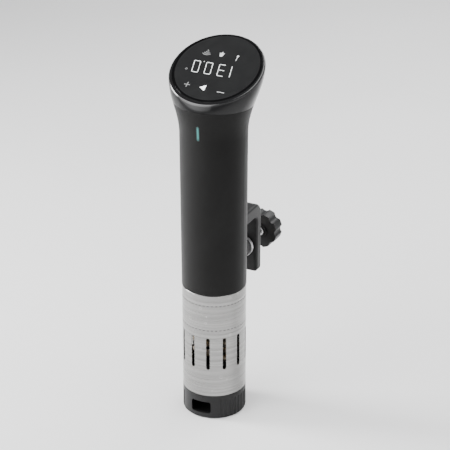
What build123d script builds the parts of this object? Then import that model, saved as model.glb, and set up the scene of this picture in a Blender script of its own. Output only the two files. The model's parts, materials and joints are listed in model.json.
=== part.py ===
"""Immersion circulator: a clamp-on water heater and pump for a cooking pot.

The frame: the body's axis is Z, the base stands on Z = 0, the front (status light) faces -Y
and the pot clamp is behind, on +Y. Sizes are millimetres.
From the bottom up: a turning flow cap with the pump chamber, a pull-off steel skirt with the
heater inside, a straight casing with the motor and the power board, and a flared head whose
round control glass is tilted towards the front.
"""

import os
from math import cos, hypot, radians, sin, sqrt

from build123d import *

os.makedirs("parts", exist_ok=True)

# ---------------------------------------------------------------- driving sizes
# Heights along the axis
cap_height = 22.0
skirt_length = 95.4
joint_gap = 0.3
casing_length = 134.0
flare_height = 54.3

# Casing and head
body_radius = 28.0
casing_taper = 0.7
wall = 2.4
face_tilt = 29.0
face_half_width = 40.0
face_half_length = 39.0
face_shift = 6.0
flare_power = 2.4
flare_sections = 5
head_split_rise = 28.0
socket_depth = 6.0
head_seal_height = 0.8
fit_gap = 0.15
joint_bevel = 0.25
lip_round = 1.6

# Control glass
lens_thickness = 2.0
lens_rim = 2.6
lens_ledge = 2.2
ledge_thickness = 2.2

# Skirt and flow cap
skirt_step = 0.3
skirt_wall = 0.8
sleeve_gap = 0.2
spigot_depth = 10.0
inlet_count = 12
inlet_width = 3.2
inlet_length = 30.0
inlet_height = 48.0
cap_wall = 2.2
cap_floor = 2.5
cap_spigot = 3.2
outlet_width = 18.0
outlet_height = 11.0
outlet_rise = 5.0
notch_count = 32
notch_radius = 2.6
notch_depth = 0.7

# Heater
flange_thickness = 2.0
coil_wire_radius = 3.0
coil_radius = 15.6
coil_pitch = 9.5
coil_turns = 5
coil_drop = 14.0
probe_radius = 2.0
probe_length = 66.0
rod_radius = 1.5
rod_length = 44.0

# Motor and pump
motor_radius = 15.8
motor_length = 26.0
motor_wall = 1.0
mount_thickness = 4.0
shaft_radius = 2.0
running_gap = 0.05
tube_outer = 4.5
tube_inner = 3.7
stud_radius = 1.5
impeller_radius = 17.0
impeller_blades = 6

# Clamp
bracket_half_width = 12.0
bracket_thickness = 12.0
bracket_leg = 9.0
bracket_span = 40.0
bracket_rise = 50.0
bracket_drop = 64.0
saddle_thickness = 3.0
jaw_pad_thickness = 2.0
clamp_screw_radius = 4.0
clamp_screw_rise = 10.0
clamp_travel = 19.0
plate_radius = 9.5
plate_thickness = 3.4
knob_radius = 16.0
knob_thickness = 14.0
knob_lobes = 8

# ---------------------------------------------------------------- places that follow
skirt_bottom = cap_height + joint_gap
skirt_top = skirt_bottom + skirt_length
casing_bottom = skirt_top + joint_gap
flare_start = casing_bottom + casing_length
head_split = flare_start + head_split_rise
face_height = flare_start + flare_height

casing_low_radius = body_radius - casing_taper
skirt_radius = casing_low_radius - skirt_step
skirt_inner = skirt_radius - skirt_wall
spigot_radius = skirt_inner - sleeve_gap
spigot_inner = spigot_radius - wall
spigot_bottom = casing_bottom - spigot_depth
inner_low_radius = casing_low_radius - wall

stud_place = inner_low_radius - 5.5
probe_place = spigot_inner - probe_radius - 0.7
wire_place = inner_low_radius - 5.4

seal_radius = 1.0
ledge_inner = spigot_inner - 2 * seal_radius
flange_bottom = spigot_bottom + 4.0
flange_top = flange_bottom + flange_thickness
ledge_bottom = flange_top + 2 * seal_radius
ledge_top = casing_bottom + 2.0
mount_top = ledge_top + mount_thickness
motor_bottom = mount_top
motor_top = motor_bottom + motor_length

face_plane = Plane(
    origin=(0, face_shift, face_height),
    x_dir=(1, 0, 0),
    z_dir=(0, -sin(radians(face_tilt)), cos(radians(face_tilt))),
)


def save(piece, name):
    """Labels a finished piece and writes its STEP file."""
    piece.label = name
    export_step(piece, f"parts/{name}.step")


def flare_growth(share):
    """How far the flare has grown at a share of its height: slow start, upright at the rim."""
    return share**flare_power * (flare_power + 1 - flare_power * share)


def flare_plane(share):
    """The plane of the flare's section at a share of its height, tilting towards the face."""
    tilt = radians(face_tilt * share)
    place = (0, face_shift * flare_growth(share), flare_start + flare_height * share)
    return Plane(origin=place, x_dir=(1, 0, 0), z_dir=(0, -sin(tilt), cos(tilt)))


def casing_form(inset):
    """The solid outer form of casing and head, with its side walls drawn in by inset."""
    with BuildPart() as form:
        with BuildSketch(Plane.XY.offset(casing_bottom)):
            Circle(casing_low_radius - inset)
        with BuildSketch(Plane.XY.offset(flare_start)):
            Circle(body_radius - inset)
        loft(ruled=True)
        for step in range(flare_sections + 1):
            grown = flare_growth(step / flare_sections)
            with BuildSketch(flare_plane(step / flare_sections)):
                Ellipse(
                    body_radius + (face_half_width - body_radius) * grown - inset,
                    body_radius + (face_half_length - body_radius) * grown - inset,
                )
        loft()
    return form.part


def slice_between(form, low, high):
    """The part of a form between two heights."""
    upper = split(form, bisect_by=Plane.XY.offset(low), keep=Keep.TOP)
    return split(upper, bisect_by=Plane.XY.offset(high), keep=Keep.BOTTOM)


outer_form = casing_form(0)
inner_form = split(
    casing_form(wall),
    bisect_by=face_plane.offset(-lens_thickness - ledge_thickness),
    keep=Keep.BOTTOM,
)
saddle_form = casing_form(-0.1)
casing_slice = slice_between(outer_form, casing_bottom, head_split)
head_slice = split(outer_form, bisect_by=Plane.XY.offset(head_split), keep=Keep.TOP)
socket_form = casing_form(wall / 2 + fit_gap)
socket_end = head_split - socket_depth
mouth_slice = slice_between(casing_form(wall / 2), socket_end - head_seal_height, head_split)
socket_slice = slice_between(socket_form, socket_end, head_split)
head_seal_slice = slice_between(socket_form, socket_end - head_seal_height, socket_end)


def ring(outer, inner, bottom, top):
    """Adds a plain ring about the axis to the part being built."""
    with BuildSketch(Plane.XY.offset(bottom)) as section:
        Circle(outer)
        Circle(inner, mode=Mode.SUBTRACT)
    extrude(section.sketch, amount=top - bottom)


# ---------------------------------------------------------------- flow cap and skirt
cap_inner = skirt_radius - cap_wall
cap_ring_height = cap_height + joint_gap + 1.6
cap_ring_radius = 0.7
cap_groove = 2 * cap_ring_radius - 0.1

with BuildPart() as flow_cap:
    with BuildSketch():
        Circle(skirt_radius)
    extrude(amount=cap_height)
    chamfer(flow_cap.edges().group_by(Axis.Z)[0], 1.2)
    with BuildSketch(Plane.XY.offset(cap_floor)):
        Circle(cap_inner)
    extrude(amount=cap_height - cap_floor, mode=Mode.SUBTRACT)
    ring(spigot_radius, spigot_inner, cap_height - 2, cap_height + cap_spigot)
    # The jet leaves through one window in the side.
    with BuildSketch(Plane.XZ.offset(cap_inner - 4)):
        with Locations((0, outlet_rise + outlet_height / 2)):
            RectangleRounded(outlet_width, outlet_height, 2)
    extrude(amount=cap_wall + 8, mode=Mode.SUBTRACT)
    # Groove for the friction ring.
    with BuildSketch(Plane.XZ):
        with Locations((spigot_radius, cap_ring_height)):
            Rectangle(2 * cap_groove, 2 * cap_ring_radius + 0.1)
    revolve(axis=Axis.Z, mode=Mode.SUBTRACT)
    # Finger notches around the foot for turning the cap, clear of the window.
    with BuildSketch(Plane.XY):
        with PolarLocations(
            skirt_radius + notch_radius - notch_depth,
            notch_count,
            start_angle=-50,
            angular_range=280,
        ):
            Circle(notch_radius)
    extrude(amount=cap_height - 4, mode=Mode.SUBTRACT)
save(flow_cap.part, "flow_cap")

with BuildPart() as cap_friction_ring:
    with BuildSketch(Plane.XZ):
        with Locations((spigot_radius - cap_groove + cap_ring_radius, cap_ring_height)):
            Circle(cap_ring_radius)
    revolve(axis=Axis.Z)
save(cap_friction_ring.part, "cap_friction_ring")

with BuildPart() as skirt:
    ring(skirt_radius, skirt_inner, skirt_bottom, skirt_top)
    with BuildSketch(Plane.XZ.offset(-skirt_radius - 1)):
        with Locations((0, inlet_height + inlet_length / 2)):
            SlotOverall(inlet_length, inlet_width, rotation=90)
    inlet = extrude(amount=2 * skirt_radius + 2, mode=Mode.PRIVATE)
    for turn in range(inlet_count // 2):
        add(inlet.rotate(Axis.Z, turn * 360 / inlet_count + 15), mode=Mode.SUBTRACT)
    rims = skirt.edges().filter_by(GeomType.CIRCLE).filter_by(lambda edge: edge.radius > skirt_radius - 0.01)
    chamfer(rims.group_by(Axis.Z)[0] + rims.group_by(Axis.Z)[-1], joint_bevel)
save(skirt.part, "skirt")

# ---------------------------------------------------------------- impeller and shaft
impeller_bottom = cap_floor + 8.5
impeller_height = 8.5
impeller_plate = 1.4
hub_radius = 4.8
nut_height = 3.2
shaft_end = impeller_bottom - nut_height - 1.0
shaft_top = motor_top + 4.0

with BuildPart() as pump_shaft:
    with BuildSketch(Plane.XY.offset(shaft_end)):
        Circle(shaft_radius)
    extrude(amount=shaft_top - shaft_end)
    chamfer(pump_shaft.edges().group_by(Axis.Z)[0], 0.4)
save(pump_shaft.part, "pump_shaft")

with BuildPart() as blade:
    with BuildSketch(Plane.XY.offset(impeller_bottom + impeller_plate)):
        with BuildLine():
            leading = ThreePointArc(
                (hub_radius - 0.6, -0.7), (impeller_radius * 0.62, 0.6), (impeller_radius * 0.9, 5.0)
            )
            tip = Line(leading @ 1, (impeller_radius * 0.86, 6.1))
            trailing = ThreePointArc(tip @ 1, (impeller_radius * 0.58, 2.0), (hub_radius - 0.6, 0.7))
            Line(trailing @ 1, leading @ 0)
        make_face()
    extrude(amount=impeller_height - impeller_plate - 0.8)

with BuildPart() as impeller:
    ring(impeller_radius, shaft_radius, impeller_bottom, impeller_bottom + impeller_plate)
    ring(hub_radius, shaft_radius, impeller_bottom, impeller_bottom + impeller_height)
    for turn in range(impeller_blades):
        add(blade.part.rotate(Axis.Z, turn * 360 / impeller_blades))
save(impeller.part, "impeller")

with BuildPart() as impeller_nut:
    with BuildSketch(Plane.XY.offset(impeller_bottom - nut_height)):
        RegularPolygon(3.6, 6)
        Circle(shaft_radius, mode=Mode.SUBTRACT)
    extrude(amount=nut_height)
save(impeller_nut.part, "impeller_nut")

# ---------------------------------------------------------------- heater assembly
baffle_bottom = cap_height + cap_spigot + 0.8
baffle_thickness = 2.0
baffle_boss = 8.0
tube_bottom = baffle_bottom + baffle_thickness
bush_length = 6.0

with BuildPart() as shaft_tube:
    ring(tube_outer, tube_inner, tube_bottom, flange_top)
save(shaft_tube.part, "shaft_tube")

with BuildPart() as shaft_bush:
    ring(tube_inner, shaft_radius + running_gap, tube_bottom + 0.5, tube_bottom + bush_length)
save(shaft_bush.part, "shaft_bush")

with BuildPart() as shaft_seal:
    ring(tube_inner, shaft_radius + running_gap, flange_top - 7, flange_top - 1)
save(shaft_seal.part, "shaft_seal")

with BuildPart() as pump_baffle:
    ring(cap_inner, shaft_radius + 1.0, baffle_bottom, tube_bottom)
    ring(tube_outer + 2.4, tube_outer, tube_bottom, tube_bottom + baffle_boss)
    with BuildSketch(Plane.XY.offset(baffle_bottom)):
        with PolarLocations(13.0, 6, start_angle=30):
            SlotOverall(9, 5.5)
    extrude(amount=baffle_thickness, mode=Mode.SUBTRACT)
    # Short blocks under the rim centre the baffle in the skirt.
    with BuildSketch(Plane.XY.offset(tube_bottom)):
        with PolarLocations(cap_inner - 0.4, 4, start_angle=45):
            Rectangle(2.8, 4)
    extrude(amount=4)
save(pump_baffle.part, "pump_baffle")

coil_top = flange_bottom - coil_drop
coil_bottom = coil_top - coil_turns * coil_pitch
leg_bend = 6.0
turn_in_bend = 5.2
rise_bend = 4.2


def wire_run(edge):
    """Sweeps the heater's round section along one edge of its centre line."""
    with BuildSketch(Plane(origin=edge @ 0, z_dir=edge % 0)) as section:
        Circle(coil_wire_radius)
    sweep(section.sketch, path=edge)


coil_edge = Helix(
    pitch=coil_pitch,
    height=coil_turns * coil_pitch,
    radius=coil_radius,
    center=(0, 0, coil_bottom),
    mode=Mode.PRIVATE,
)
coil_start, coil_end = coil_edge @ 0, coil_edge @ 1
leave_start, leave_end = (coil_edge % 0) * -1, coil_edge % 1
inward = Vector(-coil_start.X, -coil_start.Y, 0).normalized()
up = Vector(0, 0, 1)
half = sqrt(0.5)
turned_in = coil_start + inward * turn_in_bend + leave_start * turn_in_bend
raised = turned_in + inward * rise_bend + up * rise_bend
lean = (up - leave_end * up.dot(leave_end)).normalized()
swing = radians(leave_end.get_angle(up))
leg_centre = coil_end + lean * leg_bend
leg_end = leg_centre - lean * (leg_bend * cos(swing)) + leave_end * (leg_bend * sin(swing))
leg_middle = leg_centre - lean * (leg_bend * cos(swing / 2)) + leave_end * (leg_bend * sin(swing / 2))
coil_tip = flange_top + 1.0
terminal_length = 2.0

with BuildPart() as heater_coil:
    wire_run(coil_edge)
    wire_run(
        ThreePointArc(
            coil_start,
            coil_start + inward * turn_in_bend * (1 - half) + leave_start * turn_in_bend * half,
            turned_in,
            mode=Mode.PRIVATE,
        )
    )
    wire_run(
        ThreePointArc(
            turned_in,
            turned_in + inward * rise_bend * half + up * rise_bend * (1 - half),
            raised,
            mode=Mode.PRIVATE,
        )
    )
    wire_run(Line(raised, Vector(raised.X, raised.Y, coil_tip), mode=Mode.PRIVATE))
    wire_run(ThreePointArc(coil_end, leg_middle, leg_end, mode=Mode.PRIVATE))
    wire_run(Line(leg_end, Vector(leg_end.X, leg_end.Y, coil_tip), mode=Mode.PRIVATE))
save(heater_coil.part, "heater_coil")

heater_legs = [(raised.X, raised.Y), (leg_end.X, leg_end.Y)]

with BuildPart() as heater_terminals:
    with BuildSketch(Plane.XY.offset(coil_tip)):
        with Locations(*heater_legs):
            Circle(1.0)
    extrude(amount=terminal_length)
save(heater_terminals.part, "heater_terminals")

probe_spots = [(0, -probe_place)]
rod_spots = [(probe_place * sin(radians(a)), probe_place * cos(radians(a))) for a in (-35, 35)]

with BuildPart() as temperature_probe:
    with BuildSketch(Plane.XY.offset(flange_top - probe_length)):
        with Locations(*probe_spots):
            Circle(probe_radius)
    extrude(amount=probe_length)
    fillet(temperature_probe.edges().group_by(Axis.Z)[0], probe_radius * 0.9)
save(temperature_probe.part, "temperature_probe")

with BuildPart() as level_probes:
    with BuildSketch(Plane.XY.offset(flange_top - rod_length)):
        with Locations(*rod_spots):
            Circle(rod_radius)
    extrude(amount=rod_length)
save(level_probes.part, "level_probes")

with BuildPart() as heater_flange:
    with BuildSketch(Plane.XY.offset(flange_bottom)):
        Circle(spigot_inner - fit_gap)
        Circle(tube_outer, mode=Mode.SUBTRACT)
        with Locations(*heater_legs):
            Circle(coil_wire_radius, mode=Mode.SUBTRACT)
        with Locations(*probe_spots):
            Circle(probe_radius, mode=Mode.SUBTRACT)
        with Locations(*rod_spots):
            Circle(rod_radius, mode=Mode.SUBTRACT)
    extrude(amount=flange_thickness)
    with BuildSketch(Plane.XY.offset(flange_top)):
        with PolarLocations(stud_place, 3, start_angle=210):
            Circle(stud_radius)
    extrude(amount=mount_top + 4 - flange_top)
save(heater_flange.part, "heater_flange")

with BuildPart() as flange_seal:
    with BuildSketch(Plane.XZ):
        with Locations((spigot_inner - seal_radius - 0.1, flange_top + seal_radius)):
            Circle(seal_radius)
    revolve(axis=Axis.Z)
save(flange_seal.part, "flange_seal")

# ---------------------------------------------------------------- motor
mount_radius = inner_low_radius - fit_gap
bearing_radius = 5.0
bearing_length = 4.0
plate_height = 2.0
stator_radius = motor_radius - motor_wall - 0.1
stator_bore = 8.3
magnet_radius = 7.7
stack_bottom = motor_bottom + 7.0
stack_length = 12.0
stator_teeth = 6
tooth_width = 4.0

with BuildPart() as motor_mount:
    ring(mount_radius, shaft_radius + 4, ledge_top, mount_top)
    with BuildSketch(Plane.XY.offset(ledge_top)):
        with PolarLocations(stud_place, 3, start_angle=210):
            Circle(stud_radius + 0.1)
        # Openings for the heater terminals, their leads and the sensor wires.
        with Locations(*heater_legs):
            Circle(3.4)
        with Locations((-wire_place, 0), (wire_place, 0)):
            SlotOverall(9, 4.5, rotation=90)
    extrude(amount=mount_thickness, mode=Mode.SUBTRACT)
save(motor_mount.part, "motor_mount")

with BuildPart() as flange_nuts:
    with BuildSketch(Plane.XY.offset(mount_top)):
        with PolarLocations(stud_place, 3, start_angle=210):
            RegularPolygon(2.8, 6)
            Circle(stud_radius, mode=Mode.SUBTRACT)
    extrude(amount=2.4)
save(flange_nuts.part, "flange_nuts")

with BuildPart() as motor_can:
    ring(motor_radius, motor_radius - motor_wall, motor_bottom, motor_top - plate_height)
    ring(motor_radius, bearing_radius, motor_bottom, motor_bottom + bearing_length)
    ring(motor_radius, shaft_radius + 1, motor_bottom, motor_bottom + 1)
save(motor_can.part, "motor_can")

with BuildPart() as motor_end_plate:
    ring(motor_radius, bearing_radius, motor_top - plate_height, motor_top)
    ring(bearing_radius + 2, bearing_radius, motor_top - bearing_length, motor_top)
    ring(bearing_radius + 1, shaft_radius + 1, motor_top - 1, motor_top)
save(motor_end_plate.part, "motor_end_plate")

for name, low in (("lower_bearing", motor_bottom + 1), ("upper_bearing", motor_top - bearing_length)):
    with BuildPart() as bearing:
        ring(bearing_radius, shaft_radius + running_gap, low, low + bearing_length - 1)
    save(bearing.part, name)

with BuildPart() as stator_core:
    ring(stator_radius, stator_radius - 1.6, stack_bottom, stack_bottom + stack_length)
    with BuildSketch(Plane.XY.offset(stack_bottom)):
        with PolarLocations((stator_bore + stator_radius - 1) / 2, stator_teeth):
            Rectangle(stator_radius - 1 - stator_bore, tooth_width)
        Circle(stator_bore, mode=Mode.SUBTRACT)
    extrude(amount=stack_length)
save(stator_core.part, "stator_core")

with BuildPart() as stator_coils:
    for side in (1, -1):
        with BuildSketch(Plane.XY.offset(stack_bottom - 0.8)):
            with PolarLocations((stator_bore + stator_radius - 1.6) / 2, stator_teeth):
                with Locations((0, side * (tooth_width / 2 + 0.7))):
                    Rectangle(3.4, 1.2)
        extrude(amount=stack_length + 1.6)
    for level in (stack_bottom - 0.8, stack_bottom + stack_length):
        with BuildSketch(Plane.XY.offset(level)):
            with PolarLocations((stator_bore + stator_radius - 1.6) / 2, stator_teeth):
                Rectangle(3.4, tooth_width + 2.0)
        extrude(amount=0.8)
save(stator_coils.part, "stator_coils")

with BuildPart() as rotor_magnet:
    ring(magnet_radius, shaft_radius, stack_bottom, stack_bottom + stack_length)
save(rotor_magnet.part, "rotor_magnet")

# ---------------------------------------------------------------- board carrier and power board
carrier_foot = 2.0
carrier_bottom = motor_top
carrier_top = flare_start + 14.0
carrier_half_width = 18.0
rail_width = 2.0
carrier_back = 12.0
carrier_plate = 1.6
standoff = 1.0
board_thickness = 1.6
board_half_width = carrier_half_width - 0.3
board_bottom = carrier_bottom + 8.0
board_top = carrier_top - 4.0
board_back = carrier_back - standoff
board_front = board_back - board_thickness
screw_spots = [(x, z) for x in (-14.5, 14.5) for z in (board_bottom + 4, board_top - 4)]

with BuildPart() as board_carrier:
    ring(mount_radius - 1.0, shaft_radius + 3, carrier_bottom, carrier_bottom + carrier_foot)
    with BuildSketch(Plane.XY.offset(carrier_bottom)):
        with Locations((-wire_place, 0), (wire_place, 0)):
            SlotOverall(9, 4.5, rotation=90)
    extrude(amount=carrier_foot, mode=Mode.SUBTRACT)
    # Three legs stand on the motor mount and carry the weight past the motor.
    with BuildSketch(Plane.XY.offset(mount_top)):
        with PolarLocations(stud_place, 3, start_angle=30):
            Circle(2.2)
    extrude(amount=motor_length)
    # The upright channel that holds the board by its sides.
    with BuildSketch(Plane.XY.offset(carrier_bottom)):
        with Locations((0, carrier_back + carrier_plate / 2)):
            Rectangle(2 * carrier_half_width, carrier_plate)
        with Locations((carrier_half_width + rail_width / 2, carrier_back - 1.2)):
            Rectangle(rail_width, 5.6)
        with Locations((-carrier_half_width - rail_width / 2, carrier_back - 1.2)):
            Rectangle(rail_width, 5.6)
    extrude(amount=carrier_top - carrier_bottom)
    with BuildSketch(Plane.XZ.offset(-carrier_back)):
        with Locations(*screw_spots):
            Circle(2.4)
    extrude(amount=standoff)
    with BuildSketch(Plane.XZ.offset(-carrier_back - carrier_plate)):
        with Locations(*screw_spots):
            Circle(1.0)
    extrude(amount=carrier_plate + standoff, mode=Mode.SUBTRACT)
save(board_carrier.part, "board_carrier")

with BuildPart() as power_board:
    with BuildSketch(Plane.XZ.offset(-board_back)):
        with Locations((0, (board_bottom + board_top) / 2)):
            Rectangle(2 * board_half_width, board_top - board_bottom)
        with Locations(*screw_spots):
            Circle(1.1, mode=Mode.SUBTRACT)
    extrude(amount=board_thickness)
save(power_board.part, "power_board")

with BuildPart() as board_screws:
    with BuildSketch(Plane.XZ.offset(-board_front)):
        with Locations(*screw_spots):
            Circle(2.0)
    extrude(amount=1.4)
    with BuildSketch(Plane.XZ.offset(-board_front)):
        with Locations(*screw_spots):
            Circle(0.9)
    extrude(amount=-(board_thickness + standoff + carrier_plate))
save(board_screws.part, "board_screws")


def on_board(name, x, z, width, height, depth, corner=0.6):
    """A block-shaped component standing on the board's front side."""
    with BuildPart() as component:
        with BuildSketch(Plane.XZ.offset(-board_front)):
            with Locations((x, z)):
                RectangleRounded(width, height, corner)
        extrude(amount=depth)
    save(component.part, name)


on_board("transformer", -7.5, board_bottom + 20, 16, 18, 14)
on_board("relay", 8.5, board_bottom + 20, 12, 19, 12)
on_board("terminal_block", 0, board_top - 12, 22, 9, 9)
on_board("radio_module", -8.0, board_top - 29, 15, 19, 2.2, corner=0.4)

with BuildPart() as mains_capacitor:
    with BuildSketch(Plane.XY.offset(board_bottom + 34)):
        with Locations((-7.5, board_front - 6.1)):
            Circle(6.0)
    extrude(amount=20)
    fillet(mains_capacitor.edges(), 0.8)
save(mains_capacitor.part, "mains_capacitor")

with BuildPart() as heat_sink:
    with BuildSketch(Plane.XZ.offset(-board_front)):
        with Locations((8.5, board_bottom + 47)):
            Rectangle(13, 26)
    extrude(amount=2)
    with BuildSketch(Plane.XZ.offset(-board_front + 2)):
        with Locations((8.5, board_bottom + 47)):
            with GridLocations(2.9, 0, 5, 1):
                Rectangle(1.1, 26)
    extrude(amount=9)
save(heat_sink.part, "heat_sink")


def lead(name, routes, radius, bend):
    """Insulated wires: one round lead along each route of points, with rounded bends."""
    with BuildPart() as wires:
        for route in routes:
            with BuildLine() as path:
                FilletPolyline(*route, radius=bend)
            with BuildSketch(Plane(origin=path.line @ 0, z_dir=path.line % 0)):
                Circle(radius)
            sweep()
    save(wires.part, name)


lead_radius = 1.1
lead_height = coil_tip + terminal_length + lead_radius
lead_top = board_top - 12
block_side = 11 + lead_radius
lead(
    "heater_leads",
    [
        [
            (leg[0], leg[1], lead_height),
            (side * wire_place, y, lead_height),
            (side * wire_place, 0, mount_top + 6),
            (side * wire_place, 0, carrier_bottom + 6),
            (side * wire_place, -2, lead_top),
            (side * block_side, board_front - 4.5, lead_top),
        ]
        for side, y, leg in ((-1, -1.5, heater_legs[0]), (1, 1.5, heater_legs[1]))
    ],
    lead_radius,
    1.9,
)

# ---------------------------------------------------------------- display under the glass
frame_depth = lens_thickness + ledge_thickness
display_inset = wall + lens_rim + 0.9
display_x = face_half_width - display_inset
display_y = face_half_length - display_inset - 2.4
display_forward = -2.2
display_board_thickness = 1.6
board_top_depth = frame_depth + 3.2
lens_window_x = face_half_width - lens_rim - lens_ledge
lens_window_y = face_half_length - lens_rim - lens_ledge
gasket_near = 0.6
gasket_far = 1.6
gasket_height = 0.6

with BuildPart() as lens_gasket:
    with BuildSketch(face_plane.offset(-lens_thickness - gasket_height)):
        Ellipse(lens_window_x + gasket_far, lens_window_y + gasket_far)
        Ellipse(lens_window_x + gasket_near, lens_window_y + gasket_near, mode=Mode.SUBTRACT)
    extrude(amount=gasket_height)
save(lens_gasket.part, "lens_gasket")

with BuildPart() as display_lens:
    with BuildSketch(face_plane.offset(-lens_thickness)):
        Ellipse(face_half_width - lens_rim - fit_gap, face_half_length - lens_rim - fit_gap)
    extrude(amount=lens_thickness)
    chamfer(display_lens.faces().sort_by(Axis.Z)[-1].edges(), 0.2)
save(display_lens.part, "display_lens")

with BuildPart() as display_frame:
    with BuildSketch(face_plane.offset(-board_top_depth)):
        with Locations((0, display_forward)):
            Ellipse(display_x, display_y)
            Ellipse(display_x - 2.6, display_y - 2.6, mode=Mode.SUBTRACT)
    extrude(amount=board_top_depth - lens_thickness)
save(display_frame.part, "display_frame")

board_low = face_plane.offset(-board_top_depth - display_board_thickness)
frame_screws = [(side * (display_x - 1.4), display_forward) for side in (-1, 1)]
with BuildPart() as display_board:
    with BuildSketch(board_low):
        with Locations((0, display_forward)):
            Ellipse(display_x, display_y)
        with Locations(*frame_screws):
            Circle(0.7, mode=Mode.SUBTRACT)
    extrude(amount=display_board_thickness)
save(display_board.part, "display_board")

with BuildPart() as display_screws:
    with BuildSketch(board_low):
        with Locations(*frame_screws):
            Circle(1.3)
    extrude(amount=-1.0)
    with BuildSketch(board_low):
        with Locations(*frame_screws):
            Circle(0.65)
    extrude(amount=display_board_thickness)
save(display_screws.part, "display_screws")

ribbon_start = board_low.from_local_coords((0, 0, 0))
ribbon_front = board_front - 0.8
with BuildPart() as display_ribbon:
    with BuildSketch(Plane.YZ):
        with BuildLine() as ribbon_path:
            FilletPolyline(
                (ribbon_start.Y, ribbon_start.Z - 1.2),
                (ribbon_start.Y + 2.2, ribbon_start.Z - 5.5),
                (ribbon_front - 6.0, board_top + 12),
                (ribbon_front, board_top + 4),
                (ribbon_front, board_top - 5.5),
                radius=2.4,
            )
        trace(line_width=0.5)
    extrude(amount=7, both=True)
    with BuildSketch(board_low):
        Rectangle(18, 4)
    extrude(amount=-1.8)
    with BuildSketch(Plane.XZ.offset(-board_front)):
        with Locations((0, board_top - 3.5)):
            Rectangle(18, 5)
    extrude(amount=1.8)
save(display_ribbon.part, "display_ribbon")

digit_shift = -1.5
with BuildPart() as digit_module:
    with BuildSketch(face_plane.offset(-board_top_depth)):
        with Locations((-2, digit_shift)):
            RectangleRounded(48, 17, 0.8)
    extrude(amount=board_top_depth - lens_thickness - 0.4)
save(digit_module.part, "digit_module")

key_row = -21.5
icon_row = 14.5
key_spots = [(x, key_row) for x in (-15.5, 0, 15.5)] + [(x, icon_row) for x in (-14.5, 0, 14.0)]
with BuildPart() as key_lamps:
    with BuildSketch(face_plane.offset(-board_top_depth)):
        with Locations(*key_spots):
            RectangleRounded(5, 5, 0.5)
    extrude(amount=board_top_depth - lens_thickness - 0.4)
save(key_lamps.part, "key_lamps")

# ---------------------------------------------------------------- casing and head
light_height = flare_start + 10.0
light_length = 12.5
light_width = 2.6
light_depth = 5.0
gland_height = flare_start + 44.0
gland_radius = 7.0
gland_bore = 3.6
gland_flange = 8.6
gland_inner = face_shift + face_half_length * cos(radians(face_tilt)) - 11.3
gland_outer = gland_inner + 12.2
fixing_rises = (bracket_rise - 6, bracket_rise - 40)
fixing_radius = 1.5
fixing_head = 2.9

with BuildPart() as light_prism:
    with BuildSketch(Plane.XZ.offset(body_radius - light_depth)):
        with Locations((0, light_height)):
            SlotOverall(light_length, light_width, rotation=90)
    extrude(amount=light_depth + 4)

with BuildPart() as status_light:
    add(light_prism.part)
    add(outer_form, mode=Mode.INTERSECT)
save(status_light.part, "status_light")

with BuildPart() as status_board:
    with BuildSketch(Plane.XZ.offset(body_radius - light_depth - 1.0)):
        with Locations((0, light_height)):
            RectangleRounded(9, 18, 0.5)
    extrude(amount=1.0)
save(status_board.part, "status_board")

def outer_loop(part, height):
    """The longest of the level edges at a height: the outline of the part there."""
    level = part.edges().filter_by_position(Axis.Z, height - 0.01, height + 0.01)
    flat = [edge for edge in level if edge.bounding_box().size.Z < 0.01]
    return max(flat, key=lambda edge: edge.length)


def on_lip(edge):
    """Whether an edge lies in the plane of the control face, on its outer rim."""
    ends = [face_plane.to_local_coords(edge @ share) for share in (0, 0.3, 0.7)]
    reach = [hypot(p.X / face_half_width, p.Y / face_half_length) for p in ends]
    return all(abs(p.Z) < 0.01 for p in ends) and all(r > 0.98 for r in reach)


with BuildPart() as body_housing:
    add(casing_slice)
    add(inner_form, mode=Mode.SUBTRACT)
    # The mouth takes the head's socket: half the wall is cut away there.
    add(mouth_slice, mode=Mode.SUBTRACT)
    # Spigot below the shoulder: it centres the skirt and holds the heater flange.
    ring(spigot_radius, spigot_inner, spigot_bottom, casing_bottom)
    ring(inner_low_radius + 0.5, ledge_inner, ledge_bottom, ledge_top)
    with BuildSketch(Plane.XZ.offset(body_radius - light_depth)):
        with Locations((0, light_height)):
            SlotOverall(light_length + 0.1, light_width + 0.1, rotation=90)
    extrude(amount=light_depth + 4, mode=Mode.SUBTRACT)
    with BuildSketch(Plane.XZ.offset(-inner_low_radius + 4)):
        with Locations(*[(0, casing_bottom + rise) for rise in fixing_rises]):
            Circle(fixing_radius + 0.1)
    extrude(amount=-12, mode=Mode.SUBTRACT)
    ends = [outer_loop(body_housing, height) for height in (casing_bottom, head_split)]
    chamfer(ends, joint_bevel)
save(body_housing.part, "body_housing")

with BuildPart() as head_seal:
    add(head_seal_slice)
    add(inner_form, mode=Mode.SUBTRACT)
save(head_seal.part, "head_seal")

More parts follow.
